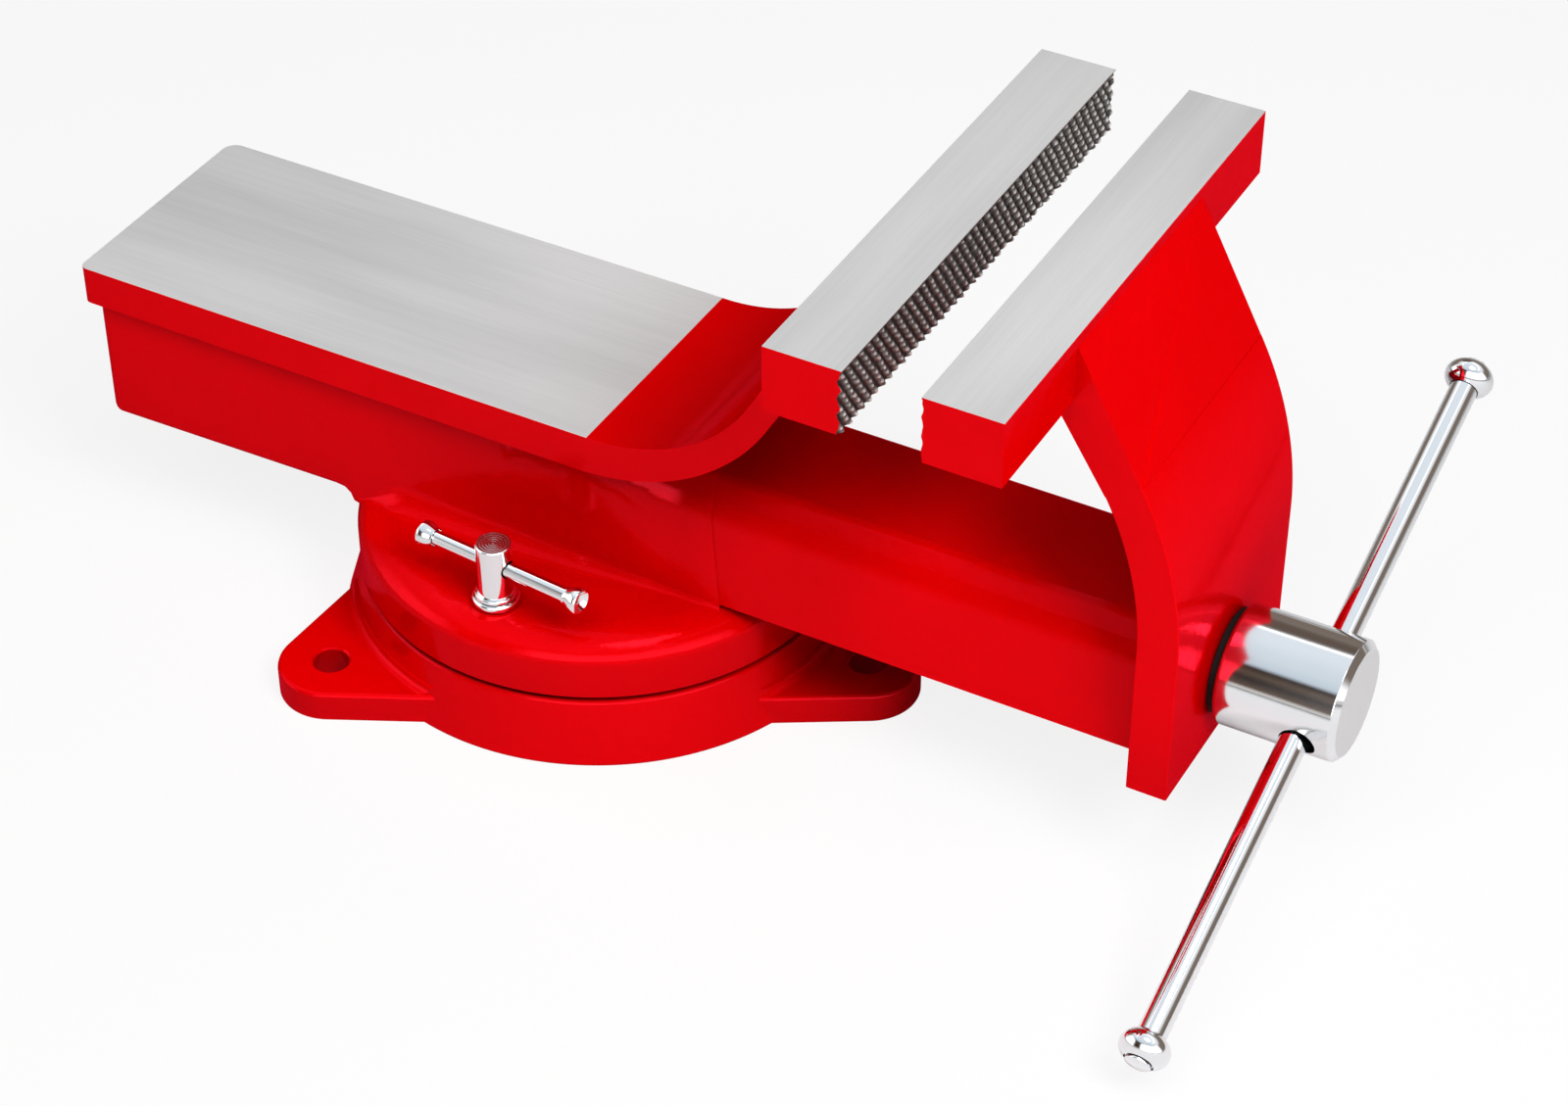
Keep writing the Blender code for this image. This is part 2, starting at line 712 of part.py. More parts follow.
def leadScrew(material):
    crestLength = thread_crest_share * screw_lead
    core = thread_radius - thread_depth
    thread = threadBody(core, thread_radius, crestLength, thread_rear, thread_front, thread_steps)
    screw = meshObject("lead_screw", thread, material)
    chamfer = screw_head_chamfer
    fillet = screw_head_fillet
    profile = [(0, screw_head_end), (screw_head_radius - chamfer, screw_head_end)]
    profile += [(screw_head_radius, screw_head_end - chamfer), (screw_head_radius, screw_head_rear + fillet)]
    profile += [(screw_head_radius - fillet, screw_head_rear), (journal_radius, screw_head_rear)]
    profile += [(journal_radius, thread_front - overrun), (0, thread_front - overrun)]
    shank = meshObject("screw_shank", turnedMesh(profile, round_steps))
    shank.matrix_world = Matrix.Translation((0, 0, screw_height)) @ Matrix.Rotation(math.radians(90), 4, "Y")
    join(screw, shank)
    hole = 2 * (screw_head_radius + overrun)
    start = handleCentre() - handleDirection() * hole / 2 + Vector((handle_hole_shift, 0, 0))
    cut(screw, rod("handle_hole", handle_hole_radius, hole, along(start, handleDirection())))
    pinLength = 2 * (journal_radius + overrun)
    start = Vector((collar_middle, 0, screw_height - pinLength / 2))
    cut(screw, rod("collar_pin_hole_in_screw", collar_pin_radius + fit_gap, pinLength, along(start, (0, 0, 1))))
    setOrigin(screw, (arm_front, 0, screw_height))
    return screw


def handleDirection():
    return Vector((0, math.sin(handle_angle), math.cos(handle_angle)))


def handleCentre():
    return Vector((handle_along, 0, screw_height))


def movingJaw(material):
    jaw = meshObject("moving_jaw", movingArm(), material)
    join(jaw, jawBar("moving_bar", -1, moving_face))
    front = arm_front - arm_thickness / 2
    join(jaw, meshObject("slide", crossPlate("slide", slideSection(), slide_rear, front)))
    place = along((arm_front - 2 * arm_thickness, 0, screw_height), (1, 0, 0))
    cut(jaw, rod("journal_hole", journal_radius + bolt_gap, 3 * arm_thickness, place, round_steps))
    setOrigin(jaw, (arm_front, 0, screw_height))
    return jaw


def thrustWasher(material):
    rear = arm_front + fit_gap
    front = rear + thrust_washer_thickness
    bore = journal_radius + fit_gap
    rim = journal_radius + thrust_washer_rim
    profile = [(bore, rear), (bore, front), (rim, front), (rim, rear), (bore, rear)]
    place = Matrix.Translation((0, 0, screw_height)) @ Matrix.Rotation(math.radians(90), 4, "Y")
    return turned("thrust_washer", profile, middle_steps, material, place)


def retainingCollar(material):
    rear = collar_middle - collar_length / 2
    front = rear + collar_length
    bore = journal_radius + fit_gap
    edge = jaw_edge_radius
    profile = [(bore, rear), (bore, front), (collar_radius - edge, front), (collar_radius, front - edge)]
    profile += [(collar_radius, rear + edge), (collar_radius - edge, rear), (bore, rear)]
    place = Matrix.Translation((0, 0, screw_height)) @ Matrix.Rotation(math.radians(90), 4, "Y")
    collar = turned("retaining_collar", profile, middle_steps, material, place)
    length = 2 * (collar_radius + overrun)
    start = (collar_middle, 0, screw_height - length / 2)
    cut(collar, rod("collar_pin_hole", collar_pin_radius + fit_gap, length, along(start, (0, 0, 1))))
    return collar


def collarPin(material):
    length = 2 * (collar_radius - fit_gap)
    start = (collar_middle, 0, screw_height - length / 2)
    return rod("collar_pin", collar_pin_radius, length, along(start, (0, 0, 1)), pin_steps, material)


# Nut block: a foot on the disc, sides that clear the slide, and a threaded bore
def mainNut(material):
    bottom = disc_top + fit_gap
    half = [(nut_half, bottom), (nut_half, nut_top - nut_crown_drop), (nut_crown_half, nut_top)]
    bm = crossPlate("main_nut", mirrored(half), nut_rear, nut_rear + nut_length)
    nut = meshObject("main_nut", bm, material)
    crest = thread_radius + nut_thread_gap
    core = crest - thread_depth
    crestLength = thread_crest_share * screw_lead + 2 * nut_thread_gap
    rear = nut_rear - overrun
    front = nut_rear + nut_length + overrun
    bore = threadBody(core, crest, crestLength, rear, front, nut_thread_steps)
    cut(nut, meshObject("nut_thread", bore))
    for label, across in nutScrewPlaces():
        place = Matrix.Translation((nut_middle, across, disc_top - overrun))
        depth = nut_screw_top - disc_top + overrun + bolt_gap
        cut(nut, rod(f"nut_tap_{label}", nut_screw_radius + fit_gap, depth, place))
    return nut


def nutScrew(label, across, material):
    bottom = disc_bottom + swivel_gap
    head = bottom + nut_screw_head_height
    socket = bottom + nut_screw_socket_depth
    radius = nut_screw_radius
    flat = nut_screw_socket_radius
    edge = base_edge_radius / 2
    profile = [(0, nut_screw_top), (radius - edge, nut_screw_top), (radius, nut_screw_top - edge)]
    profile += [(radius, head), (nut_screw_head_radius - edge, head), (nut_screw_head_radius, head - edge)]
    profile += [(nut_screw_head_radius, bottom), (flat, bottom), (flat, socket), (0, socket)]
    place = Matrix.Translation((nut_middle, across, 0))
    return turned(f"nut_screw_{label}", profile, small_steps, material, place)


def pivotPin(material):
    bottom = base_height - pivot_socket_depth + fit_gap
    top = disc_top - fit_gap
    edge = base_edge_radius
    profile = [(0, top), (pivot_radius - edge, top), (pivot_radius, top - edge)]
    profile += [(pivot_radius, bottom + edge), (pivot_radius - edge, bottom), (0, bottom)]
    return turned("pivot_pin", profile, small_steps, material)


def lockScrew(label, across, material):
    bottom = lock_head_bottom
    top = lock_bar_height + lock_head_over_bar
    end = base_height - slot_depth + lock_shank_lift
    edge = lock_collar_height * lock_edge_share
    profile = [(0, top), (lock_head_radius - edge, top)]
    profile += [(lock_head_radius, top - edge), (lock_head_radius, bottom + lock_collar_height)]
    profile += [(lock_collar_radius, bottom + lock_collar_height - edge), (lock_collar_radius, bottom)]
    profile += [(lock_shank_radius, bottom), (lock_shank_radius, end + edge)]
    profile += [(lock_shank_radius - edge, end), (0, end)]
    screw = turned(f"lock_screw_{label}", profile, small_steps, material, Matrix.Translation((0, across, 0)))
    length = 2 * (lock_head_radius + overrun)
    direction = lockBarDirection(across)
    start = Vector((0, across, lock_bar_height)) - direction * length / 2
    cut(screw, rod(f"lock_bar_hole_{label}", lock_bar_radius + fit_gap, length, along(start, direction)))
    return screw


def lockBarDirection(across):
    angle = -lock_bar_turn if across < 0 else lock_bar_turn
    return Vector((math.cos(angle), math.sin(angle), 0))


def lockWasher(label, across, material):
    bottom = lock_washer_bottom
    top = bottom + lock_washer_height
    bore = lock_shank_radius + fit_gap
    edge = lock_washer_height * lock_edge_share
    profile = [(bore, bottom), (bore, top), (lock_washer_radius - edge, top)]
    profile += [(lock_washer_radius, top - edge), (lock_washer_radius, bottom + edge)]
    profile += [(lock_washer_radius - edge, bottom), (bore, bottom)]
    return turned(f"lock_washer_{label}", profile, small_steps, material, Matrix.Translation((0, across, 0)))


def clampNut(label, across, material):
    top = base_height - slot_mouth_depth - fit_gap
    bm = bmesh.new()
    size = (2 * clamp_nut_half, 2 * clamp_nut_half, clamp_nut_height)
    bmesh.ops.create_cube(bm, size=1, matrix=Matrix.Diagonal((*size, 1)))
    uprights = [edge for edge in bm.edges if abs(edge.verts[0].co.z - edge.verts[1].co.z) > 0]
    roundEdges(bm, uprights, base_edge_radius, fine_edge_steps)
    nut = meshObject(f"clamp_nut_{label}", bm, material)
    nut.location = (0, across, top - clamp_nut_height / 2)
    place = Matrix.Translation((0, across, top - clamp_nut_height - overrun))
    length = clamp_nut_height + 2 * overrun
    cut(nut, rod(f"clamp_bore_{label}", lock_shank_radius + fit_gap, length, place))
    return nut


# Bar with chamfered ends, from one distance to another along its own Z
def bar(name, radius, start, end, place, steps, material):
    edge = radius * bar_edge_share
    profile = [(0, end), (radius - edge, end), (radius, end - edge), (radius, start + edge)]
    profile += [(radius - edge, start), (0, start)]
    return turned(name, profile, steps, material, place)


# Cup-shaped knob of a tommy bar: it widens outwards and is dished at its end
def tommyKnob(name, place, material):
    radius = lock_knob_radius
    length = lock_knob_length
    bore = lock_bar_radius + fit_gap
    lip = -length * lock_knob_lip_share
    seat = length * lock_knob_seat_share
    profile = [(radius * across, length * up) for across, up in lock_knob_shares]
    profile += [(bore + fit_gap, lip), (bore, lip), (bore, seat), (0, seat)]
    return turned(name, profile, small_steps, material, place)


def tommyBar(label, across, material):
    direction = lockBarDirection(across)
    centre = Vector((0, across, lock_bar_height))
    place = along(centre, direction)
    knobStart = lock_knob_length / 2
    start = -lock_bar_rear + knobStart + fit_gap
    end = lock_bar_front - knobStart - fit_gap
    seat = lock_knob_length * lock_knob_seat_share - fit_gap
    bar(f"tommy_bar_{label}", lock_bar_radius, start - seat, end + seat, place, small_steps, material)
    tommyKnob(f"tommy_knob_front_{label}", along(centre + direction * end, direction), material)
    tommyKnob(f"tommy_knob_rear_{label}", along(centre + direction * start, -direction), material)


# Turn from a handle knob's middle to where its ball shape meets the bar's bore
def knobTurn():
    return math.acos((handle_radius + fit_gap) / handle_knob_radius)


# Handle knob: a flattened ball with a bore for the bar
def handleKnob(name, place, material):
    inner = knobTurn()
    profile = []
    for step in range(knob_steps + 1):
        angle = inner - 2 * inner * step / knob_steps
        profile.append((handle_knob_radius * math.cos(angle), handle_knob_length / 2 * math.sin(angle)))
    profile.append(profile[0])
    return turned(name, profile, small_steps, material, place)


def handle(material):
    direction = handleDirection()
    place = along(handleCentre(), direction)
    half = handle_knob_length / 2 * math.sin(knobTurn())
    start = -handle_down - half - handle_rivet_height
    end = handle_up + half + handle_rivet_height
    bar("handle_bar", handle_radius, start, end, place, small_steps, material)
    handleKnob("handle_knob_upper", along(handleCentre() + direction * handle_up, direction), material)
    handleKnob("handle_knob_lower", along(handleCentre() - direction * handle_down, -direction), material)


clearScene()
partCollection = newCollection(partName)
cutterCollection = newCollection("cutters")
redPaint = paint("red_paint", (0.75, 0.004, 0.006), 0.22, 0.0)
polishedSteel = paint("polished_steel", (0.62, 0.63, 0.65), 0.16, 1.0)
plainSteel = paint("plain_steel", (0.35, 0.35, 0.36), 0.38, 1.0)
darkSteel = paint("dark_steel", (0.05, 0.05, 0.055), 0.5, 1.0)
bronze = paint("bronze", (0.55, 0.34, 0.13), 0.35, 1.0)

solids = [swivelBase(redPaint), fixedBody(redPaint), movingJaw(redPaint)]
solids.append(leadScrew(polishedSteel))
thrustWasher(darkSteel)
retainingCollar(plainSteel)
collarPin(plainSteel)
mainNut(bronze)
for label, across in nutScrewPlaces():
    nutScrew(label, across, darkSteel)
pivotPin(plainSteel)
for label, across in lockPlaces():
    lockScrew(label, across, polishedSteel)
    lockWasher(label, across, polishedSteel)
    clampNut(label, across, plainSteel)
    tommyBar(label, across, polishedSteel)
handle(polishedSteel)
for solid in solids:
    smooth(solid)
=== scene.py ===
# Swivel bench vise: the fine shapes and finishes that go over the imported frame.
# Everything is in metres, with the bench at Z = 0 and the swivel axis at X = Y = 0.

import math

import bmesh
import bpy
from mathutils import Matrix, Vector, noise


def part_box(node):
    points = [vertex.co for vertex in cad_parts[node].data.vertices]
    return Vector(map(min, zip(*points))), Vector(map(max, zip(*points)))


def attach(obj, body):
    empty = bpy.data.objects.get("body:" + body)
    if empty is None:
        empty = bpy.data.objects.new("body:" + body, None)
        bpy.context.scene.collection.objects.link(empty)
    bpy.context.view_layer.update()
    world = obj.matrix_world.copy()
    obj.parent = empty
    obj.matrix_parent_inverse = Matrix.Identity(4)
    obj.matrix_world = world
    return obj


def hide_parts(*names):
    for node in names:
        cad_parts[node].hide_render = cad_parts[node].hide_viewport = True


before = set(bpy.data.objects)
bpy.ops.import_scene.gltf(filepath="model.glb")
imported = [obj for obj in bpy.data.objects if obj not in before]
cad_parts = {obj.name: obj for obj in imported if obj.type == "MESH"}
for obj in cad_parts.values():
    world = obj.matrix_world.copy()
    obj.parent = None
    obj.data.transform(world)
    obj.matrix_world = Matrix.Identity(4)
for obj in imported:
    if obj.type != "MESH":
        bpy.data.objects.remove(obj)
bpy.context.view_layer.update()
print("frame loaded")

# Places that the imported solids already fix
bodyLow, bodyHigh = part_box("fixed_body")
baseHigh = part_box("swivel_base")[1]
jawLow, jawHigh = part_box("moving_jaw")
screwLow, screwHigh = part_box("lead_screw")
armFront = jawHigh.x
screwHeight = (screwLow.z + screwHigh.z) / 2
yAxis = Vector((0, 1, 0))
zAxis = Vector((0, 0, 1))
alongX = Matrix(((0, 0, 1, 0), (0, 1, 0, 0), (-1, 0, 0, 0), (0, 0, 0, 1)))  # a turned piece's Z onto X


# Shader maths as plain expressions on sockets
class Wire:
    def __init__(self, tree, socket=None):
        self.tree = tree
        self.socket = socket

    def node(self, kind, settings=None, inputs=None, output=0):
        node = self.tree.nodes.new(kind)
        for name, value in (settings or {}).items():
            if name == "stops":
                ramp = node.color_ramp
                while len(ramp.elements) < len(value):
                    ramp.elements.new(0.5)
                for element, (place, colour) in zip(ramp.elements, value):
                    element.position = place
                    element.color = (*colour, 1)
            else:
                setattr(node, name, value)
        for name, value in (inputs or {}).items():
            self.plug(node.inputs[name], value)
        return Wire(self.tree, node.outputs[output])

    def plug(self, socket, value):
        if isinstance(value, Wire):
            self.tree.links.new(value.socket, socket)
        elif isinstance(value, tuple) and socket.type == "RGBA":
            socket.default_value = (*value, 1)
        else:
            socket.default_value = value

    def maths(self, operation, first, second=0.0):
        return self.node("ShaderNodeMath", {"operation": operation}, {0: first, 1: second})

    def __add__(self, other):
        return self.maths("ADD", self, other)

    def __sub__(self, other):
        return self.maths("SUBTRACT", self, other)

    def __rsub__(self, other):
        return self.maths("SUBTRACT", other, self)

    def __mul__(self, other):
        return self.maths("MULTIPLY", self, other)

    def __truediv__(self, other):
        return self.maths("DIVIDE", self, other)

    def __pow__(self, other):
        return self.maths("POWER", self, other)

    __radd__ = __add__
    __rmul__ = __mul__

    def clamp(self):
        return self.node("ShaderNodeClamp", {}, {"Value": self})

    def ease(self, low, high):
        return self.node("ShaderNodeMapRange", {"interpolation_type": "SMOOTHSTEP"},
                         {"Value": self, "From Min": low, "From Max": high})

    def mix(self, first, second):
        return self.node("ShaderNodeMix", {"data_type": "RGBA"}, {0: self, 6: first, 7: second}, 2)

    def part(self, letter):
        return self.node("ShaderNodeSeparateXYZ", {}, {0: self}, "XYZ".index(letter))

    def noise(self, place, scale, detail=2.0, roughness=0.5):
        return self.node("ShaderNodeTexNoise", {}, {"Vector": place, "Scale": scale, "Detail": detail,
                                                    "Roughness": roughness})

    def stretch(self, place, scale):
        return self.node("ShaderNodeMapping", {}, {"Vector": place, "Scale": scale})

    def bump(self, height, strength, distance, normal=None):
        inputs = {"Height": height, "Strength": strength, "Distance": distance}
        if normal is not None:
            inputs["Normal"] = normal
        return self.node("ShaderNodeBump", {}, inputs)

    def dress(self, shader, colour, roughness, normal):
        for name, value in (("Base Color", colour), ("Roughness", roughness), ("Normal", normal)):
            self.plug(shader.inputs[name], value)


def dimmed(colour, share):
    return tuple(value * share for value in colour)


def newMaterial(name, **fixed):
    material = bpy.data.materials.new(name)
    material.use_nodes = True
    tree = material.node_tree
    shader = tree.nodes["Principled BSDF"]
    start = Wire(tree)
    for words, value in fixed.items():
        start.plug(shader.inputs[words.replace("_", " ")], value)
    place = start.node("ShaderNodeTexCoord", output="Object")
    return material, shader, start, place


def emptyTree(holder):
    holder.use_nodes = True
    holder.node_tree.nodes.clear()
    return holder.node_tree, Wire(holder.node_tree)


# Gloss enamel: even red, darker in corners as painted shade, with the fine skin of sprayed paint over a
# slightly wavy casting.
# Most of what it mirrors takes the paint's own pink, as on a deep translucent red.
enamel = {"red": (0.84, 0.0, 0.0006), "deepRed": (0.785, 0.0, 0.0004), "tint": (1.0, 0.0, 0.03),
          "clear": 0.028, "index": 1.78, "roughness": 0.09, "uneven": 0.07, "skinScale": 620,
          "skinBump": 0.26, "skinDepth": 0.00022, "waveScale": 95, "waveBump": 0.34, "waveDepth": 0.0006,
          "paintedShadeReach": 0.09, "paintedShadeShare": 0.65}


def redEnamel():
    material, shader, start, place = newMaterial("redEnamel", IOR=enamel["index"])
    tree = material.node_tree
    cloud = start.noise(place, 16, 3).ease(0.32, 0.72)
    # Painted shade: ambient occlusion darkens the red's colour in corners and under overhangs
    paintedCornerShade = start.node("ShaderNodeAmbientOcclusion", {"samples": 8}, {"Distance": enamel["paintedShadeReach"]}, "AO")
    light = paintedCornerShade * enamel["paintedShadeShare"] + (1 - enamel["paintedShadeShare"])
    colour = light.mix((0.0, 0.0, 0.0), cloud.mix(enamel["red"], enamel["deepRed"]))
    roughness = enamel["roughness"] + start.noise(place, 42, 2).ease(0.35, 0.7) * enamel["uneven"]
    waves = start.bump(start.noise(place, enamel["waveScale"], 1), enamel["waveBump"], enamel["waveDepth"])
    fine = start.noise(place, enamel["skinScale"], 1)
    skin = start.bump(fine, enamel["skinBump"], enamel["skinDepth"], waves)
    start.dress(shader, colour, roughness, skin)
    clear = Wire(tree, shader.outputs[0])
    deep = start.node("ShaderNodeBsdfPrincipled", {},
                      {"Base Color": colour, "Specular IOR Level": 0.0, "Normal": skin})
    body = start.node("ShaderNodeMixShader", {}, {0: 1 - enamel["clear"], 1: clear, 2: deep})
    shine = start.node("ShaderNodeBsdfAnisotropic", {},
                       {"Color": enamel["tint"], "Roughness": roughness, "Normal": skin})
    facing = start.node("ShaderNodeFresnel", {}, {"IOR": enamel["index"], "Normal": skin})
    mixed = start.node("ShaderNodeMixShader", {}, {0: facing, 1: body, 2: shine})
    start.plug(tree.nodes["Material Output"].inputs["Surface"], mixed)
    return material


# Ground steel: long fine lines along the grain, over soft cloudy bands
ground = {"pale": (0.735, 0.735, 0.735), "dull": (0.57, 0.57, 0.572), "lines": 2600, "length": 26,
          "roughness": 0.34, "metallic": 0.12}


# A share below 1 gives a darker copy of this steel: painted shade
def groundSteel(name, grain, shade):
    material, shader, start, place = newMaterial(name, Metallic=ground["metallic"], Specular_IOR_Level=0.0)
    fine, broad = (ground["length"], ground["lines"], 200), (6, 34, 6)
    if grain == "Y":
        fine, broad = (ground["lines"], ground["length"], 200), (34, 6, 6)
    lines = start.noise(start.stretch(place, fine), 1, 3, 0.6)
    streaks = start.noise(start.stretch(place, dimmed(fine, 0.16)), 1, 2, 0.55)
    clouds = start.noise(start.stretch(place, broad), 1, 2, 0.45)
    tone = clouds.ease(0.28, 0.74) * 0.66 + streaks.ease(0.3, 0.7) * 0.14 + lines.ease(0.3, 0.7) * 0.2
    colour = tone.mix(dimmed(ground["dull"], shade), dimmed(ground["pale"], shade))
    roughness = ground["roughness"] + lines * 0.08 + (1 - clouds) * 0.08
    start.dress(shader, colour, roughness, start.bump(lines, 0.25, 0.00012))
    return material


# Bare cast teeth: valleys dark as painted shade, ridges (facing along X) bright from wear and painted
# highlight, some paint on top
tooth = {"valley": (0.022, 0.018, 0.016), "flank": (0.16, 0.145, 0.13), "ridge": (0.90, 0.90, 0.89),
         "spray": (0.085, 0.012, 0.009)}


def toothSteel(name, root, tip, top):
    material, shader, start, place = newMaterial(name, Metallic=0.7)
    height = ((place.part("X") - root) / (tip - root)).clamp()
    grit = start.noise(place, 1300, 3)
    rough = height + (grit - 0.5) * 0.5
    # Brighter with height: partly wear, partly painted highlight on the ridges; the valleys' near-black is
    # painted shade
    wornAndHighlit = rough.ease(0.58, 0.92)
    steel = wornAndHighlit.mix(rough.ease(0.15, 0.55).mix(tooth["valley"], tooth["flank"]), tooth["ridge"])
    spray = (place.part("Z") + (start.noise(place, 420, 2) - 0.5) * 0.002).ease(top - 0.0021, top - 0.0012)
    colour = (spray * 0.9).mix(steel, tooth["spray"])
    start.dress(shader, colour, 0.44 - wornAndHighlit * 0.14, start.bump(grit, 0.5, 0.0002))
    return material


# Polished steel of the screw and handles, with faint polishing marks
polish = {"colour": (0.80, 0.81, 0.83), "roughness": 0.065, "marks": 900}


def polishedSteel(name):
    material, shader, start, place = newMaterial(name, Metallic=1.0)
    smear = start.noise(place, 60, 3)
    scuffs = start.noise(place, polish["marks"], 2)
    colour = smear.mix(dimmed(polish["colour"], 0.95), polish["colour"])
    roughness = polish["roughness"] + smear * 0.03 + scuffs * 0.02
    start.dress(shader, colour, roughness, start.bump(scuffs, 0.04, 0.0001))
    return material


# Faced steel: fine rings left by the lathe around an axis, on a piece's end
def facedSteel(name, middle, axis, colour, roughness, pitch, depth):
    material, shader, start, place = newMaterial(name, Metallic=1.0)
    moved = start.node("ShaderNodeVectorMath", {"operation": "SUBTRACT"}, {0: place, 1: middle})
    letters = [letter for letter in "XYZ" if letter != axis]
    radius = (moved.part(letters[0]) ** 2 + moved.part(letters[1]) ** 2) ** 0.5
    rings = start.maths("SINE", radius * (math.tau / pitch)) * 0.5 + 0.5
    uneven = start.noise(place, 1400, 2)
    shaded = uneven.mix(dimmed(colour, 0.86), colour)
    start.dress(shader, shaded, roughness + rings * 0.06, start.bump(rings, depth, 0.0001))
    return material


# Plain machined metal for the hidden parts, and black: the black screws' own colour, and painted shade in the
# gaps under the disc and behind the screw head
def plainMetal(name, colour, roughness, metallic=1.0, gloss=0.5):
    material, shader, start, place = newMaterial(name, Metallic=metallic, Specular_IOR_Level=gloss)
    cloud = start.noise(place, 120, 3)
    grit = start.bump(start.noise(place, 500, 2), 0.12, 0.0002)
    start.dress(shader, cloud.mix(dimmed(colour, 0.75), colour), roughness + cloud * 0.12, grit)
    return material


red = redEnamel()
anvilSteel = groundSteel("anvilSteel", "X", 1.0)
# The jaws' tops take a darker copy of the anvil's steel: painted shade
jawSteel = groundSteel("jawSteel", "Y", 0.85)
brightSteel = polishedSteel("brightSteel")
plainSteel = plainMetal("plainSteel", (0.42, 0.42, 0.43), 0.32)
blackSteelAndPaintedGapShade = plainMetal("blackSteelAndPaintedGapShade", (0.008, 0.007, 0.007), 0.5, 0.0, 0.1)
nutBronze = plainMetal("nutBronze", (0.62, 0.40, 0.17), 0.28)
print("finishes made")


# A pen that draws one closed outline: straight runs, and arcs made by spinning its tip
class Pen:
    def __init__(self, start, axis):
        self.bm = bmesh.new()
        self.axis = axis
        self.first = self.tip = self.bm.verts.new(start)

    def line(self, *points):
        for point in points:
            vert = self.bm.verts.new(point)
            self.bm.edges.new((self.tip, vert))
            self.tip = vert

    def arc(self, centre, turn, steps):
        made = bmesh.ops.spin(self.bm, geom=[self.tip], cent=centre, axis=self.axis, angle=turn,
                              steps=steps, use_duplicate=False)
        self.tip = next(item for item in made["geom_last"] if isinstance(item, bmesh.types.BMVert))

    def fill(self):
        if (self.tip.co - self.first.co).length > 1e-7:
            self.bm.edges.new((self.tip, self.first))
        bmesh.ops.remove_doubles(self.bm, verts=self.bm.verts, dist=1e-7)
        bmesh.ops.contextual_create(self.bm, geom=self.bm.edges[:])
        return self.bm


def extrude(bm, vector):
    made = bmesh.ops.extrude_face_region(bm, geom=bm.faces[:])["geom"]
    bmesh.ops.translate(bm, verts=[item for item in made if isinstance(item, bmesh.types.BMVert)], vec=vector)
    bmesh.ops.recalc_face_normals(bm, faces=bm.faces)
    return bm


def roundEdges(bm, edges, radius, segments=3):
    return bmesh.ops.bevel(bm, geom=edges, offset=radius, offset_type="OFFSET", segments=segments,
                           profile=0.5, affect="EDGES", clamp_overlap=True, material=-1)


def sharpEdges(bm, degrees, test=None):
    found = [edge for edge in bm.edges
             if edge.is_manifold and edge.calc_face_angle() > math.radians(degrees)]
    if test:
        found = [edge for edge in found if all(test(vert.co) for vert in edge.verts)]
    return found


def openLine(points):
    bm = bmesh.new()
    verts = [bm.verts.new(point) for point in points]
    return bm, verts + [bm.edges.new(pair) for pair in zip(verts, verts[1:])]


def spun(profile, steps=128, place=None):
    bm, line = openLine([(radius, 0, height) for radius, height in profile])
    bmesh.ops.spin(bm, geom=line, cent=(0, 0, 0), axis=zAxis, angle=math.tau, steps=steps,
                   use_merge=True, use_duplicate=False)
    bmesh.ops.remove_doubles(bm, verts=bm.verts, dist=1e-7)
    bmesh.ops.recalc_face_normals(bm, faces=bm.faces)
    if place is not None:
        bm.transform(place)
    return bm


# Points of a rounded corner in a turned profile, from one angle to another
def bend(centre, radius, start, end, steps=6):
    turns = [math.radians(start + (end - start) * step / steps) for step in range(steps + 1)]
    return [(centre[0] + radius * math.cos(turn), centre[1] + radius * math.sin(turn)) for turn in turns]


# Section of a plain round rod between two heights
def rod(radius, low, high):
    return [(0, high), (radius, high), (radius, low), (0, low)]


# Place that puts a turned piece's Z along a direction
def pointed(place, direction):
    return Matrix.Translation(place) @ direction.to_track_quat("Z", "Y").to_matrix().to_4x4()


def cutAcross(bm, along, **more):
    bmesh.ops.bisect_plane(bm, geom=bm.verts[:] + bm.edges[:] + bm.faces[:], plane_co=(along, 0, 0), **more)


def linked(name, data):
    holder = bpy.data.objects.new(name, data)
    bpy.context.scene.collection.objects.link(holder)
    return holder


def solid(name, bm, *materials):
    bmesh.ops.recalc_face_normals(bm, faces=bm.faces)
    if bm.calc_volume(signed=True) < 0:
        bmesh.ops.reverse_faces(bm, faces=bm.faces)
    mesh = bpy.data.meshes.new(name)
    bm.to_mesh(mesh)
    bm.free()
    for material in materials:
        mesh.materials.append(material)
    return linked(name, mesh)


# Join other solids to a piece or cut them from it, then keep the result as its mesh
def combine(piece, others, operation):
    for other in others:
        modifier = piece.modifiers.new(other.name, "BOOLEAN")
        modifier.operation = operation
        modifier.solver = "EXACT"
        modifier.object = other
    bpy.context.view_layer.update()
    shape = piece.evaluated_get(bpy.context.evaluated_depsgraph_get())
    mesh = bpy.data.meshes.new_from_object(shape)
    piece.modifiers.clear()
    piece.data = mesh
    for other in others:
        bpy.data.objects.remove(other, do_unlink=True)
    return piece


def finishPiece(piece, body, slot, *replaced, crease=32):
    piece.data.shade_smooth()
    piece.data.set_sharp_from_angle(angle=math.radians(crease))
    weighted = piece.modifiers.new("evenShading", "WEIGHTED_NORMAL")
    weighted.keep_sharp = True
    weighted.weight = 100
    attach(piece, body)
    if replaced:
        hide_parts(*replaced)


# Give a piece's end face its second finish
def markEnd(piece, axis, level):
    for face in piece.data.polygons:
        if face.normal[axis] > 0.99 and face.center[axis] > level - 1e-4:
            face.material_index = 1


def turnedPiece(name, profile, steps, place, body, node):
    finishPiece(solid(name, spun(profile, steps, place), brightSteel), body, "polished_steel", node)


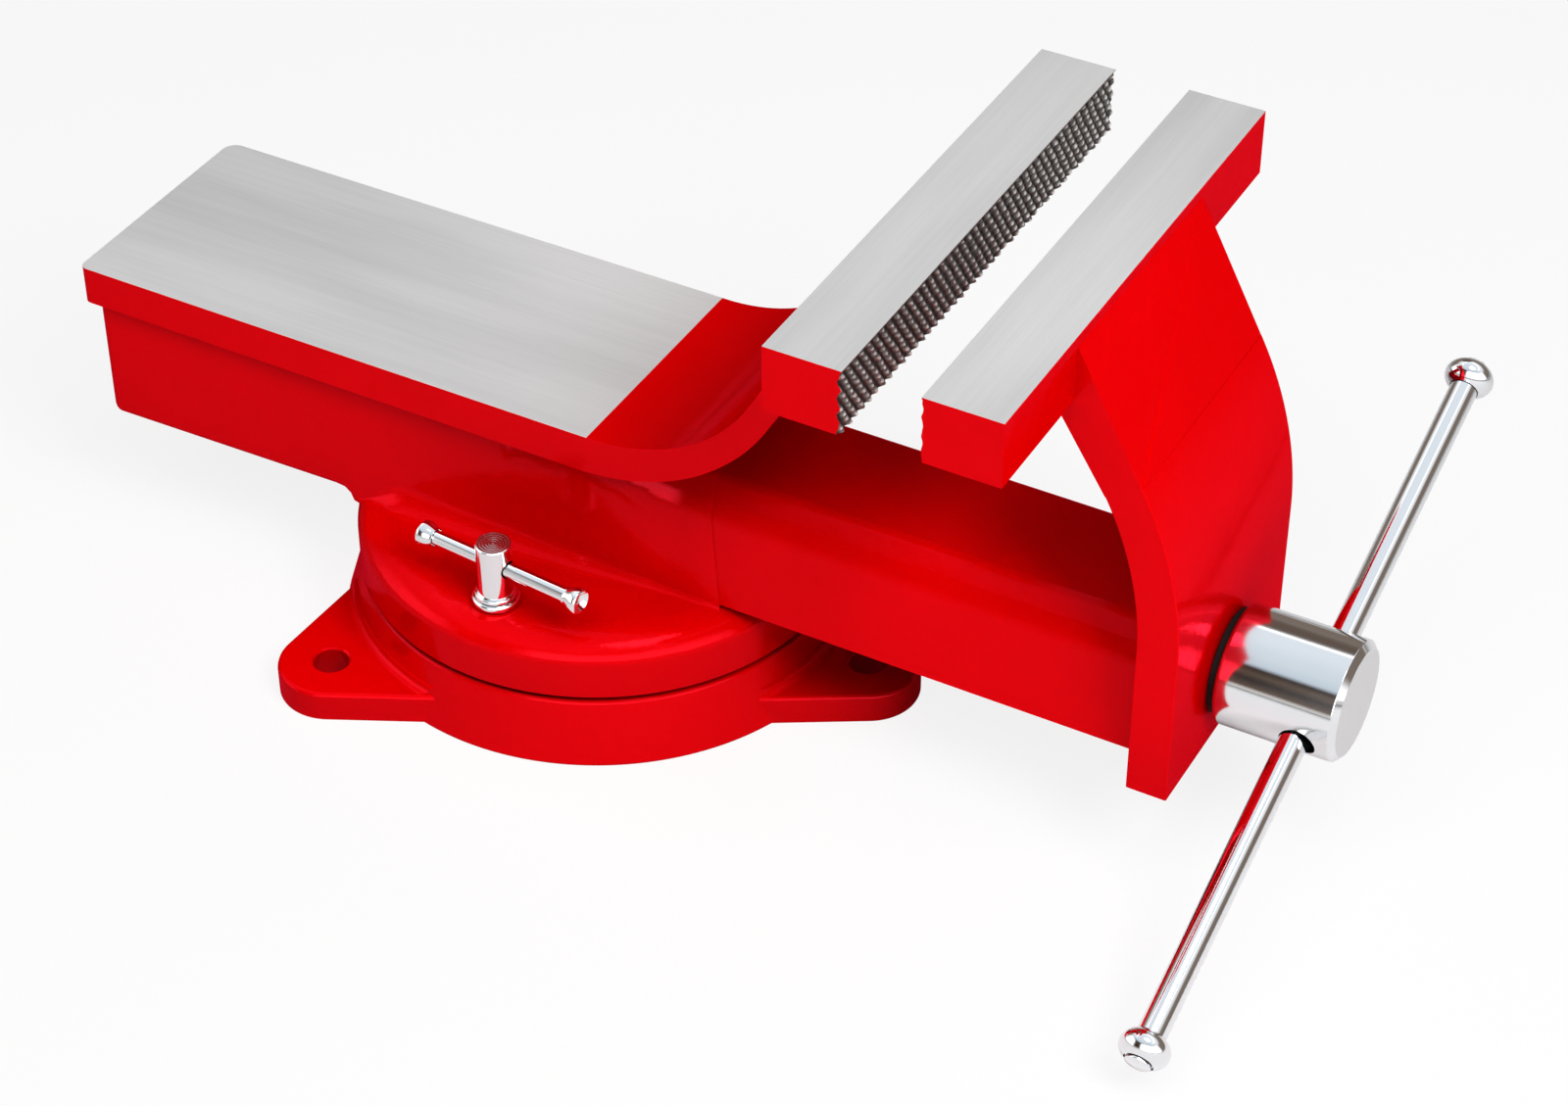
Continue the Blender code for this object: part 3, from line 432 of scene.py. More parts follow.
# Swivel base: a coned ring on three lugs
base = {"edge": 0.002, "topRadius": 0.0903, "footRadius": 0.0968, "slotMiddle": 0.0731, "mouthHalf": 0.0057,
        "slotHalf": 0.0095, "mouthDepth": 0.0074, "slotDepth": 0.0159, "socket": 0.0103,
        "socketDepth": 0.014, "coreInner": 0.034, "coreOuter": 0.057, "coreDepth": 0.0115}
lug = {"turns": (0, math.radians(123.2), -math.radians(123.2)), "circle": 0.1108, "radius": 0.0195,
       "flare": math.radians(30.5), "thickness": 0.012, "hole": 0.0065, "edge": 0.0016, "crease": 0.0032,
       "holeEdge": 0.0007}


def baseRing():
    top = baseHigh.z
    middle, wide, mouth = base["slotMiddle"], base["slotHalf"], base["mouthHalf"]
    ledge, floor, well = top - base["mouthDepth"], top - base["slotDepth"], top - base["socketDepth"]
    edge = base["edge"]
    lean = math.degrees(math.atan2(base["footRadius"] - base["topRadius"], top))
    profile = [(0, well), (base["socket"], well), (base["socket"], top)]
    profile += [(middle - mouth, top), (middle - mouth, ledge), (middle - wide, ledge)]
    profile += [(middle - wide, floor), (middle + wide, floor), (middle + wide, ledge)]
    profile += [(middle + mouth, ledge), (middle + mouth, top)]
    profile += bend((base["topRadius"] - edge, top - edge), edge, 90, lean)
    profile += bend((base["footRadius"] - edge / 2, edge / 2), edge / 2, lean, -90, 4)
    profile += [(base["coreOuter"], 0), (base["coreOuter"], base["coreDepth"])]
    profile += [(base["coreInner"], base["coreDepth"]), (base["coreInner"], 0), (0, 0)]
    return spun(profile, 192)


# The lug's plan: a round end whose flanks run straight in to a circle inside the ring
def lugPlan(grow=0.0):
    tip = math.radians(90) - lug["flare"]
    radius = lug["radius"] + grow
    root = base["topRadius"] - base["edge"]
    end = Vector((lug["circle"] + radius * math.cos(tip), radius * math.sin(tip)))
    inward = Vector((-math.cos(lug["flare"]), math.sin(lug["flare"])))
    nearest = -end.dot(inward)
    foot = end + inward * (nearest - math.sqrt(root ** 2 - end.length_squared + nearest ** 2))
    spread = math.atan2(foot.y, foot.x)
    pen = Pen((end.x, -end.y, 0), zAxis)
    pen.arc((lug["circle"], 0, 0), 2 * tip, 28)
    pen.line((foot.x, foot.y, 0))
    pen.arc((0, 0, 0), -2 * spread, 10)
    return pen.fill()


def lugSolid(turn):
    bm = extrude(lugPlan(), (0, 0, lug["thickness"]))
    rim = sharpEdges(bm, 60, lambda co: co.z > lug["thickness"] / 2)
    roundEdges(bm, rim, lug["edge"])
    foot = sharpEdges(bm, 60, lambda co: co.z < lug["thickness"] / 4)
    roundEdges(bm, foot, lug["edge"] / 3, 2)
    bm.transform(turn)
    return bm


# Fillet in the crease between a lug's top and the ring's coned wall
def creaseFillet():
    floor = lug["thickness"]
    size = lug["crease"]
    slope = (base["footRadius"] - base["topRadius"]) / baseHigh.z
    wall = base["footRadius"] - slope * floor
    profile = [(wall - size, floor - size / 2), (wall + size, floor - size / 2)]
    profile += bend((wall + size, floor + size), size, 270, 180, 6)
    profile += [(wall - size, floor + size), (wall - size, floor - size / 2)]
    return spun(profile, 192)


def swivelBase():
    ring = solid("castBase", baseRing(), red)
    edge, parts, holes = lug["holeEdge"], [], []
    for number, angle in enumerate(lug["turns"]):
        turn = Matrix.Rotation(angle, 4, "Z")
        parts.append(solid(f"lugPart{number}", lugSolid(turn), red))
        plan = extrude(lugPlan(-lug["edge"]), (0, 0, lug["thickness"] + 2 * lug["crease"]))
        plan.transform(turn)
        fillet = solid(f"filletPart{number}", creaseFillet(), red)
        parts.append(combine(fillet, [solid(f"planPart{number}", plan, red)], "INTERSECT"))
        place = turn @ Matrix.Translation((lug["circle"], 0, 0))
        profile = [(0, lug["thickness"] + edge), (lug["hole"] + 2 * edge, lug["thickness"] + edge)]
        profile += [(lug["hole"], lug["thickness"] - edge), (lug["hole"], -edge), (0, -edge)]
        holes.append(solid(f"holePart{number}", spun(profile, 64, place), red))
    combine(ring, parts, "UNION")
    combine(ring, holes, "DIFFERENCE")
    finishPiece(ring, "base", "red_paint", "swivel_base")


swivelBase()
print("base made")

# Swivel disc, housing, anvil and fixed jaw, one casting
disc = {"radius": 0.0903, "top": 0.050, "edgeWide": 0.0145, "edgeHigh": 0.009, "lowerEdge": 0.0006,
        "seam": 0.0013, "seamDepth": 0.004, "seat": 0.0006, "lockHole": 0.0055, "boss": 0.0096,
        "bossEdge": 0.0008, "bossDepth": 0.006, "pivotHole": 0.0103, "nutPlace": 0.0375, "nutSide": 0.0155,
        "nutHole": 0.0045, "nutSink": 0.007, "sinkDepth": 0.0082}
housing = {"rearHalf": 0.0455, "frontHalf": 0.0402, "rear": -0.1889, "front": 0.0715, "lean": 0.009,
           "floor": 0.048, "roof": 0.104, "corner": 0.004, "gap": 0.00012, "skin": 0.0006,
           "blendStart": 0.020, "blendEnd": 0.062, "step": 0.004}
# X and the fillet at the housing's foot there, or its hem
footStops = ((-0.2, -0.003), (-0.088, -0.003), (-0.079, 0.0004), (-0.061, 0.0098), (-0.017, 0.0086),
             (0.008, 0.0068), (0.037, 0.0046), (0.052, 0.003), (0.0715, 0.0022))
slide = {"foot": (0.0387, 0.0512), "shoulder": (0.0325, 0.0863), "crown": (0.023, 0.0958), "wall": 0.0068,
         "rear": -0.154, "shoulderBlend": 0.0055, "crownBlend": 0.0022}
anvil = {"top": 0.11435, "thick": 0.0153, "rear": -0.193, "half": 0.048, "nearCorner": 0.0032,
         "farCorner": 0.0055, "groundEnd": 0.0244, "edge": 0.0009, "lowerEdge": 0.0026,
         "lean": math.radians(28.2), "neckThick": 0.0097, "bead": 0.0009, "neckDrop": 0.0062,
         "topBend": 0.072, "underBend": 0.088}
bar = {"length": 0.200, "thick": 0.028, "height": 0.0246, "step": 0.00036, "ropePitch": 0.0046,
       "ropeSlant": 0.7, "strandPitch": 0.0039, "strandSlant": 0.3, "scaleStart": -0.03, "scaleEnd": 0.03,
       "depth": 0.0016, "shallow": 0.0007, "lip": 0.0004,
       "stray": 0.14, "strayScale": 170, "grainScale": 420}
fixedFace = bodyHigh.x


def discSolid():
    bottom = bodyLow.z - disc["seat"]
    low = disc["lowerEdge"]
    profile = [(0, disc["top"])]
    wide, high = disc["edgeWide"], disc["edgeHigh"]
    for step in range(25):
        angle = math.radians(90 * step / 24)
        across = disc["radius"] - wide * (1 - math.sin(angle))
        profile.append((across, disc["top"] - high * (1 - math.cos(angle))))
    seam, inner = bodyLow.z + disc["seam"], disc["radius"] - disc["seamDepth"]
    profile += bend((disc["radius"] - low, seam + low), low, 0, -90, 4)
    profile += [(inner, seam), (inner, bottom), (0, bottom)]
    bm = spun(profile, 192)
    # The faces in the seam under the disc's rim take the black finish: painted shade in the gap
    for face in bm.faces:
        if all(vert.co.z < seam + 1e-5 and vert.co.xy.length > inner - 1e-5 for vert in face.verts):
            face.material_index = 3
    return bm


# Corner between two straight edges, moved out by a distance from both of them
def offsetCorner(before, corner, after, distance):
    first = (corner - before).normalized()
    second = (after - corner).normalized()
    normals = Vector((first.y, -first.x)) + Vector((second.y, -second.x))
    return corner + normals * distance * 2 / normals.length_squared


# Half of the slide's section, grown by a distance: foot, shoulder and crown
def slideHalf(grow):
    foot, shoulder, crown = (Vector(slide[name]) for name in ("foot", "shoulder", "crown"))
    outerShoulder = offsetCorner(foot, shoulder, crown, grow)
    outerCrown = offsetCorner(shoulder, crown, Vector((0, crown.y)), grow)
    return [Vector((foot.x + outerShoulder.x - shoulder.x, foot.y)), outerShoulder, outerCrown]


# A closed section in Y and Z, with some of its corners blended, drawn out along X
def drawnSection(points, blends, rear, front):
    pen = Pen((rear, *points[0]), Vector((1, 0, 0)))
    pen.line(*[(rear, *point) for point in points[1:]])
    bm = pen.fill()
    for corners, size in blends:
        verts = [vert for vert in bm.verts
                 if any((Vector(vert.co.yz) - Vector(point)).length < 1e-6 for point in corners)]
        bmesh.ops.bevel(bm, geom=verts, offset=size, offset_type="OFFSET", segments=6, profile=0.5,
                        affect="VERTICES", clamp_overlap=True, material=-1)
    return extrude(bm, (front - rear, 0, 0))


def mirrored(half):
    return [tuple(point) for point in half] + [(-point[0], point[1]) for point in reversed(half)]


def softStep(value, low, high):
    share = min(max((value - low) / (high - low), 0), 1)
    return share * share * (3 - 2 * share)


def wallHalf(along):
    share = (housing["front"] - along) / (housing["front"] - housing["rear"])
    return housing["frontHalf"] + (housing["rearHalf"] - housing["frontHalf"]) * share


def footRadius(along):
    for (first, low), (last, high) in zip(footStops, footStops[1:]):
        if along <= last:
            return low + (high - low) * softStep(along, first, last)
    return footStops[-1][1]


# Height of the disc under a point, on its rounded edge too
def discHeight(along, across):
    past = max(math.hypot(along, across) - disc["radius"] + disc["edgeWide"], 0) / disc["edgeWide"]
    return disc["top"] - disc["edgeHigh"] * (1 - math.sqrt(max(1 - past ** 2, 0)))


# Right half of the housing's outline at a place along X: a foot that is filleted onto the disc or hemmed, a
# wall that turns from upright into the slide's own slope towards the front, and the roof inside the anvil
def housingHalf(along):
    inset = housing["corner"] - (along - housing["rear"])
    inset = housing["corner"] - math.sqrt(housing["corner"] ** 2 - inset ** 2) if inset > 0 else 0
    radius, wall = footRadius(along), wallHalf(along) - inset
    grow = housing["gap"] + housing["skin"] * (1 - 0.8 * softStep(along, 0.064, housing["front"]))
    foot, shoulder, crown = slideHalf(grow)
    turn = softStep(along, housing["blendStart"], housing["blendEnd"])
    low = housing["floor"] + inset
    if radius > 0:
        low = max(min(discHeight(along, wall + radius), disc["top"]), housing["floor"] - 0.006) - 0.0001
        low += (housing["floor"] - low) * (1 - softStep(along, -0.085, -0.074))
    inner = wall + (foot.x - wall) * turn
    points = [(inner - 0.005, low - 0.002 * (radius > 0)), (inner + radius, low - 0.002 * (radius > 0))]
    for step in range(9):
        angle = math.radians(90 * step / 8)
        points.append((inner + radius - radius * math.sin(angle), low + abs(radius) * (1 - math.cos(angle))))
    start = points[-1][1]
    around = []
    for corner, before, after, size in ((shoulder, foot, crown, slide["shoulderBlend"]),
                                        (crown, shoulder, Vector((0, crown.y)), slide["crownBlend"])):
        first = corner + (before - corner).normalized() * size
        last = corner + (after - corner).normalized() * size
        for step in range(7):
            share = step / 6
            around.append(first * (1 - share) ** 2 + corner * 2 * share * (1 - share) + last * share ** 2)
    for step in range(1, 6):
        share = step / 6
        straight = Vector((wall, start + (around[0].y - start) * share))
        leaning = Vector((inner, start)).lerp(around[0], share)
        points.append(tuple(straight.lerp(leaning, turn)))
    for step, point in enumerate(around):
        share = step / (len(around) - 1)
        straight = Vector((wall, around[0].y + (housing["roof"] - around[0].y) * share))
        points.append(tuple(straight.lerp(point, turn)))
    return points


def housingSolid():
    rear, front = housing["rear"], housing["front"]
    places = [rear + housing["corner"] * (1 - math.cos(math.radians(15 * step))) for step in range(7)]
    while places[-1] + 1.5 * housing["step"] < front:
        places.append(places[-1] + housing["step"])
    places.append(front)
    outline = mirrored(housingHalf(0))
    bm = drawnSection(outline, (), rear, front)
    for place in places[1:-1]:
        cutAcross(bm, place, plane_no=(1, 0, 0), dist=1e-8)
    outlines = [mirrored(housingHalf(place)) for place in places]
    height = anvil["top"] - anvil["thick"] - disc["top"]
    for vert in bm.verts:
        corner = min(range(len(outline)), key=lambda number: (Vector(outline[number]) - vert.co.yz).length)
        station = min(range(len(places)), key=lambda number: abs(places[number] - vert.co.x))
        vert.co.yz = outlines[station][corner]
        rise = max(vert.co.z - disc["top"], 0) / height
        vert.co.x -= housing["lean"] * rise * softStep(vert.co.x, 0.03, front)
    bmesh.ops.remove_doubles(bm, verts=bm.verts, dist=1e-7)
    return bm


def hollowSolid():
    hollow = slideHalf(housing["gap"])
    points = mirrored([(hollow[0].x, housing["floor"] - 0.02)] + hollow)
    blends = ((mirrored(hollow[1:2]), slide["shoulderBlend"]), (mirrored(hollow[2:]), slide["crownBlend"]))
    return drawnSection(points, blends, housing["rear"] - 0.01, housing["front"] + 0.01)


# Centre of the arc that is tangent to a level floor and to the neck's leaning line
def neckCentre(point, floor, radius):
    height = floor + radius
    lean = (height - point[1]) * math.sin(anvil["lean"])
    return (point[0] - (radius - lean) / math.cos(anvil["lean"]), 0, height)


def anvilSolid():
    lean, top = anvil["lean"], anvil["top"]
    under = top - anvil["thick"]
    back = fixedFace - bar["thick"]
    topPoint = (back, bodyHigh.z - anvil["neckDrop"])
    neck = anvil["neckThick"]
    underPoint = (back + neck * math.cos(lean), topPoint[1] - neck * math.sin(lean))
    topCentre = neckCentre(topPoint, top, anvil["topBend"])
    underCentre = neckCentre(underPoint, under, anvil["underBend"])
    half, inside = anvil["half"], bar["thick"] / 3
    pen = Pen((anvil["rear"], -half, top), yAxis)
    pen.line((topCentre[0], -half, top))
    pen.arc((topCentre[0], -half, topCentre[2]), lean - math.radians(90), 24)
    pen.line((topPoint[0], -half, topPoint[1]), (topPoint[0] + inside, -half, topPoint[1]))
    pen.line((underPoint[0] + inside / 2, -half, underPoint[1] + inside / 4))
    reach = anvil["underBend"]
    pen.line((underCentre[0] + reach * math.cos(lean), -half, underCentre[2] - reach * math.sin(lean)))
    pen.arc((underCentre[0], -half, underCentre[2]), math.radians(90) - lean, 24)
    pen.line((anvil["rear"], -half, under))
    bm = extrude(pen.fill(), (0, 2 * half, 0))
    for side, size in ((-1, anvil["nearCorner"]), (1, anvil["farCorner"])):
        rear = sharpEdges(bm, 60, lambda co: co.x < anvil["rear"] + 1e-5 and co.y * side > 0)
        upright = [edge for edge in rear
                   if abs(edge.verts[0].co.z - edge.verts[1].co.z) > anvil["thick"] / 2]
        roundEdges(bm, upright, size, 8)
    cutAcross(bm, anvil["groundEnd"], plane_no=(1, 0, 0), dist=1e-7)
    upper = sharpEdges(bm, 50, lambda co: co.z > top - 1e-5 and co.x < topPoint[0] - 1e-5)
    lower = sharpEdges(bm, 50, lambda co: co.z < topPoint[1] and co.x < underPoint[0])
    lower = [edge for edge in lower if edge not in upper]
    roundEdges(bm, upper, anvil["edge"])
    lower = [edge for edge in lower if edge.is_valid]
    roundEdges(bm, lower, anvil["lowerEdge"])
    for face in bm.faces:
        centre = face.calc_center_median()
        if face.normal.z > 0.4 and centre.x < anvil["groundEnd"] and centre.z > top - anvil["edge"]:
            face.material_index = 1
    return bm


# Toothed bar: a fine grid shaped into slanting ropes with strands across, that end as scales at the far side
def toothHeight(across, up):
    stray = noise.noise(Vector((across, up, 0)) * bar["strayScale"]) * bar["stray"]
    far = softStep(across, bar["scaleStart"], bar["scaleEnd"])
    sharp = 0.9 - 0.45 * far
    rope = across / bar["ropePitch"] + up / bar["ropePitch"] * bar["ropeSlant"] + stray
    strand = (bar["strandSlant"] * across - up) / bar["strandPitch"] + 2 * stray
    rope, strand = ((0.5 + 0.5 * math.cos(math.tau * turns)) ** sharp for turns in (rope, strand))
    height = rope * (1 - (0.42 + 0.3 * far) * (1 - strand))
    height *= 0.93 + 0.14 * noise.noise(Vector((across, up, 0.1)) * bar["grainScale"])
    lip = softStep(up, bar["height"] / 2 - 2 * bar["lip"], bar["height"] / 2 - bar["lip"])
    return min(height + (1 - height) * lip, 1)


def jawBar(facing, face, depth):
    bm = bmesh.new()
    columns = round(bar["length"] / bar["step"])
    rows = round(bar["height"] / bar["step"])
    bmesh.ops.create_grid(bm, x_segments=columns, y_segments=rows, size=0.5)
    for vert in bm.verts:
        across, up = vert.co.x * bar["length"], vert.co.y * bar["height"]
        vert.co = ((toothHeight(facing * across, up) - 1) * depth, across, up)
    for item in bm.faces:
        item.material_index = 2
    rim = [edge for edge in bm.edges if edge.is_boundary]
    drawn = bmesh.ops.extrude_edge_only(bm, edges=rim)["geom"]
    for item in drawn:
        if isinstance(item, bmesh.types.BMVert):
            item.co.x = -bar["thick"]
        if isinstance(item, bmesh.types.BMFace):
            item.material_index = 0
    bmesh.ops.holes_fill(bm, edges=[edge for edge in bm.edges if edge.is_boundary], sides=0)
    bmesh.ops.recalc_face_normals(bm, faces=bm.faces)
    for item in bm.faces:
        if len(item.verts) > 4 or item.calc_center_median().x < -2 * bar["depth"]:
            item.material_index = 0
        if item.normal.z > 0.9 and item.calc_center_median().z > bar["height"] / 2 - 1e-5:
            item.material_index = 1
    back = [edge for edge in bm.edges if all(abs(vert.co.x + bar["thick"]) < 1e-6 for vert in edge.verts)]
    back = [edge for edge in back if edge.calc_face_angle(0) > math.radians(60)]
    lengthwise = [edge for edge in back
                  if max(edge.verts[0].co.z, edge.verts[1].co.z) < bar["height"] / 2 - 1e-5
                  or abs(edge.verts[0].co.z - edge.verts[1].co.z) > 1e-5]
    behind = [vert for vert in bm.verts if vert.co.x < -2 * bar["depth"]]
    bmesh.ops.dissolve_limit(bm, angle_limit=math.radians(0.5), verts=behind, edges=lengthwise,
                             delimit={"MATERIAL"})
    if facing < 0:
        bm.transform(Matrix.Rotation(math.pi, 4, "Z"))
    bm.transform(Matrix.Translation((face, 0, bodyHigh.z - bar["height"] / 2)))
    return bm


# Bead of paint in the corner between the plate and each housing wall, closing in as the walls do
def cornerBead(side):
    rear, front = housing["rear"] + housing["corner"], housing["blendStart"]
    bm = bmesh.new()
    bmesh.ops.create_circle(bm, segments=12, radius=anvil["bead"], cap_ends=True)
    bm.transform(Matrix.Translation((rear, 0, anvil["top"] - anvil["thick"])) @ alongX)
    bm = extrude(bm, (front - rear, 0, 0))
    for vert in bm.verts:
        vert.co.y += side * wallHalf(vert.co.x)
    return bm


def fixedCasting():
    teeth = toothSteel("fixedTeeth", fixedFace - bar["depth"], fixedFace, bodyHigh.z)
    slots = (red, anvilSteel, teeth, blackSteelAndPaintedGapShade)
    body = solid("castBody", discSolid(), *slots)
    shell = solid("housingPart", housingSolid(), *slots)
    combine(shell, [solid("hollowPart", hollowSolid(), *slots)], "DIFFERENCE")
    skirt, foot = disc["boss"] + disc["bossEdge"], disc["top"] - disc["bossDepth"]
    boss = [(0, disc["top"]), (disc["boss"], disc["top"]), (skirt, disc["top"] - 1.5 * disc["bossEdge"])]
    boss += [(skirt, foot), (0, foot)]
    places = [Matrix.Translation((0, side * base["slotMiddle"], 0)) for side in (-1, 1)]
    bosses = [solid(f"bossPart{number}", spun(boss, 64, place), *slots)
              for number, place in enumerate(places)]
    combine(body, [shell] + bosses, "UNION")
    bottom = bodyLow.z
    deep = disc["top"] - bottom + 0.004
    holes = [((0, 0), disc["pivotHole"], deep)]
    holes += [((0, side * base["slotMiddle"]), disc["lockHole"], deep) for side in (-1, 1)]
    for side in (-1, 1):
        place = (disc["nutPlace"], side * disc["nutSide"])
        holes += [(place, disc["nutHole"], deep), (place, disc["nutSink"], disc["sinkDepth"] + 0.002)]
    cutters = []
    for number, (place, radius, depth) in enumerate(holes):
        low = bottom - 0.002
        profile = rod(radius, low, low + depth)
        cutters.append(solid(f"drill{number}", spun(profile, 48, Matrix.Translation((*place, 0))), *slots))
    combine(body, cutters, "DIFFERENCE")
    finishPiece(body, "body", "red_paint", "fixed_body", crease=38)
    plate = solid("castAnvil", anvilSolid(), *slots)
    combine(plate, [solid(f"beadPart{side}", cornerBead(side), *slots) for side in (-1, 1)], "UNION")
    finishPiece(plate, "body", "red_paint", "fixed_body")
    jaw = solid("fixedJaw", jawBar(1, fixedFace, bar["depth"]), red, jawSteel, teeth)
    finishPiece(jaw, "body", "red_paint", "fixed_body")


fixedCasting()
print("fixed casting made")

# Moving jaw: slide, arm and toothed bar
arm = {"thick": 0.0149, "radius": 0.141, "half": 0.048, "drop": 0.0043, "edge": 0.0012, "bore": 0.0137}
movingFace = 0.1782


def armSolid():
    lean = anvil["lean"]
    topPoint = (movingFace + bar["thick"], jawHigh.z - arm["drop"])
    centreX = armFront - arm["radius"]
    across = (topPoint[0] - centreX) * math.cos(lean)
    centreZ = topPoint[1] + (across - arm["radius"]) / math.sin(lean)
    inner = arm["radius"] - arm["thick"]
    inside = (topPoint[0] - arm["thick"] * math.cos(lean), topPoint[1] - arm["thick"] * math.sin(lean))
    inward = bar["thick"] / 3
    half = arm["half"]
    pen = Pen((armFront, -half, jawLow.z), yAxis)
    pen.line((armFront, -half, centreZ))
    pen.arc((centreX, -half, centreZ), -lean, 24)
    pen.line((topPoint[0], -half, topPoint[1]), (topPoint[0] - inward, -half, topPoint[1]))
    pen.line((inside[0] - inward * math.sin(lean), -half, inside[1]))
    pen.line((centreX + inner * math.cos(lean), -half, centreZ + inner * math.sin(lean)))
    pen.arc((centreX, -half, centreZ), lean, 24)
    pen.line((armFront - arm["thick"], -half, jawLow.z))
    bm = extrude(pen.fill(), (0, 2 * half, 0))
    edges = sharpEdges(bm, 50, lambda co: co.z < inside[1] - 0.001)
    roundEdges(bm, edges, arm["edge"])
    return bm


def slideSolid():
    outer, inner = slideHalf(0), slideHalf(-slide["wall"])
    shoulders = mirrored(outer[1:2]) + mirrored(inner[1:2])
    crowns = mirrored(outer[2:]) + mirrored(inner[2:])
    blends = ((shoulders, slide["shoulderBlend"]), (crowns, slide["crownBlend"]))
    section = mirrored(outer) + mirrored(inner)[::-1]
    return drawnSection(section, blends, slide["rear"], armFront - arm["thick"] / 2)


def movingCasting():
    teeth = toothSteel("movingTeeth", movingFace + bar["shallow"], movingFace, bodyHigh.z)
    body = solid("castSlide", slideSolid(), red)
    combine(body, [solid("armPart", armSolid(), red)], "UNION")
    place = Matrix.Translation((armFront - 2 * arm["thick"], 0, screwHeight)) @ alongX
    bore = spun(rod(arm["bore"], 0, 3 * arm["thick"]), 64, place)
    combine(body, [solid("borePart", bore, red)], "DIFFERENCE")
    finishPiece(body, "jaw", "red_paint", "moving_jaw")
    jaw = solid("movingJaw", jawBar(-1, movingFace, bar["shallow"]), red, jawSteel, teeth)
    finishPiece(jaw, "jaw", "red_paint", "moving_jaw")


movingCasting()
print("moving casting made")

# Main screw: a thread of one tooth outline spun along the axis, a journal and the cross-drilled head
screw = {"lead": 0.006, "radius": 0.013, "depth": 0.003, "crest": 0.37, "flank": math.radians(15),
         "steps": 36, "rear": -0.149, "front": 0.098, "journal": 0.0132, "headRear": 0.2508,
         "chamfer": 0.0022, "fillet": 0.0018, "holePlace": 0.282, "hole": 0.0065}
handle = {"place": 0.2808, "turn": math.radians(69.5), "radius": 0.005, "up": 0.1362, "down": 0.1429,
          "knobRadius": 0.0088, "knobHalf": 0.00625, "rivet": 0.0018, "rivetRadius": 0.0046, "dome": 0.0009,
          "fit": 0.0003}
barAlong = Vector((0, math.sin(handle["turn"]), math.cos(handle["turn"])))


def screwThread():
    core = screw["radius"] - screw["depth"]
    half = screw["crest"] * screw["lead"] / 2
    slope = screw["depth"] * math.tan(screw["flank"])
    turns = math.ceil((screw["front"] - screw["rear"]) / screw["lead"]) + 3
    start = (math.floor(screw["rear"] / screw["lead"]) - 1) * screw["lead"]
    outline = [(-half - slope, core), (-half, screw["radius"]), (half, screw["radius"]), (half + slope, core)]
    outline.append((screw["lead"] - half - slope, core))
    bm, line = openLine([(start + forward, 0, radius) for forward, radius in outline])
    bmesh.ops.spin(bm, geom=line, cent=(0, 0, 0), axis=(1, 0, 0), angle=math.tau * turns,
                   dvec=(screw["lead"] / screw["steps"], 0, 0), steps=screw["steps"] * turns,
                   use_duplicate=False)
    bmesh.ops.remove_doubles(bm, verts=bm.verts, dist=1e-6)
    for place, side in ((screw["rear"], -1), (screw["front"], 1)):
        cutAcross(bm, place, plane_no=(side, 0, 0), clear_outer=True, dist=1e-7)
        rim = [edge for edge in bm.edges
               if edge.is_boundary and all(abs(vert.co.x - place) < 1e-6 for vert in edge.verts)]
        bmesh.ops.holes_fill(bm, edges=rim, sides=0)
    bm.transform(Matrix.Translation((0, 0, screwHeight)))
    return bm


def mainScrew():
    faced = facedSteel("headFace", (screwHigh.x, 0, screwHeight), "X", (0.72, 0.72, 0.73), 0.34, 0.0006, 0.05)
    head = (screwHigh.z - screwLow.z) / 2
    end, rear, chamfer, fillet = screwHigh.x, screw["headRear"], screw["chamfer"], screw["fillet"]
    profile = [(0, end)]
    profile += bend((head - chamfer - 0.0004, end - 0.0004), 0.0004, 90, 45, 3)
    profile += bend((head - 0.0004, end - chamfer - 0.0002), 0.0004, 45, 0, 3)
    profile += bend((head - fillet, rear + fillet), fillet, 0, -90, 6)
    journal, inside = screw["journal"], screw["front"] - 0.002
    profile += [(journal, rear), (journal, inside), (0, inside)]
    place = Matrix.Translation((0, 0, screwHeight)) @ alongX
    piece = solid("mainScrew", spun(profile, 160, place), brightSteel, faced)
    combine(piece, [solid("threadPart", screwThread(), brightSteel)], "UNION")
    drill = pointed(Vector((screw["holePlace"], 0, screwHeight)) - barAlong * 0.03, barAlong)
    hole = spun(rod(screw["hole"], 0, 0.06), 64, drill)
    combine(piece, [solid("drillPart", hole, brightSteel)], "DIFFERENCE")
    markEnd(piece, 0, end)
    finishPiece(piece, "screw", "polished_steel", "lead_screw")


def handleParts():
    place = pointed(Vector((handle["place"], 0, screwHeight)), barAlong)
    radius, knob, half = handle["radius"], handle["knobRadius"], handle["knobHalf"]
    inner = math.acos((radius + handle["fit"]) / knob)
    reach = half * math.sin(inner) + handle["rivet"]
    low, high = -handle["down"] - reach, handle["up"] + reach
    rivet, dome = handle["rivetRadius"], handle["dome"]
    edge, neck = 0.0003, handle["rivet"] + 0.0006
    cap = [(0, 0)] + [(rivet * share, -dome * share ** 2) for share in (0.25, 0.5, 0.7, 0.85)]
    cap += bend((rivet - edge, -dome - edge), edge, 70, 0, 4) + [(rivet, -neck), (radius, -neck)]
    profile = [(across, high + along) for across, along in cap]
    profile += [(across, low - along) for across, along in cap[::-1]]
    turnedPiece("handleBar", profile, 64, place, "handle", "handle_bar")
    turns = [inner - 2 * inner * step / 24 for step in range(25)]
    ball = [(knob * math.cos(turn), half * math.sin(turn)) for turn in turns]
    for name, middle in (("upper", handle["up"]), ("lower", -handle["down"])):
        shift = Matrix.Translation((0, 0, middle))
        turnedPiece(name + "Knob", ball + [ball[0]], 64, place @ shift, "handle", "handle_knob_" + name)


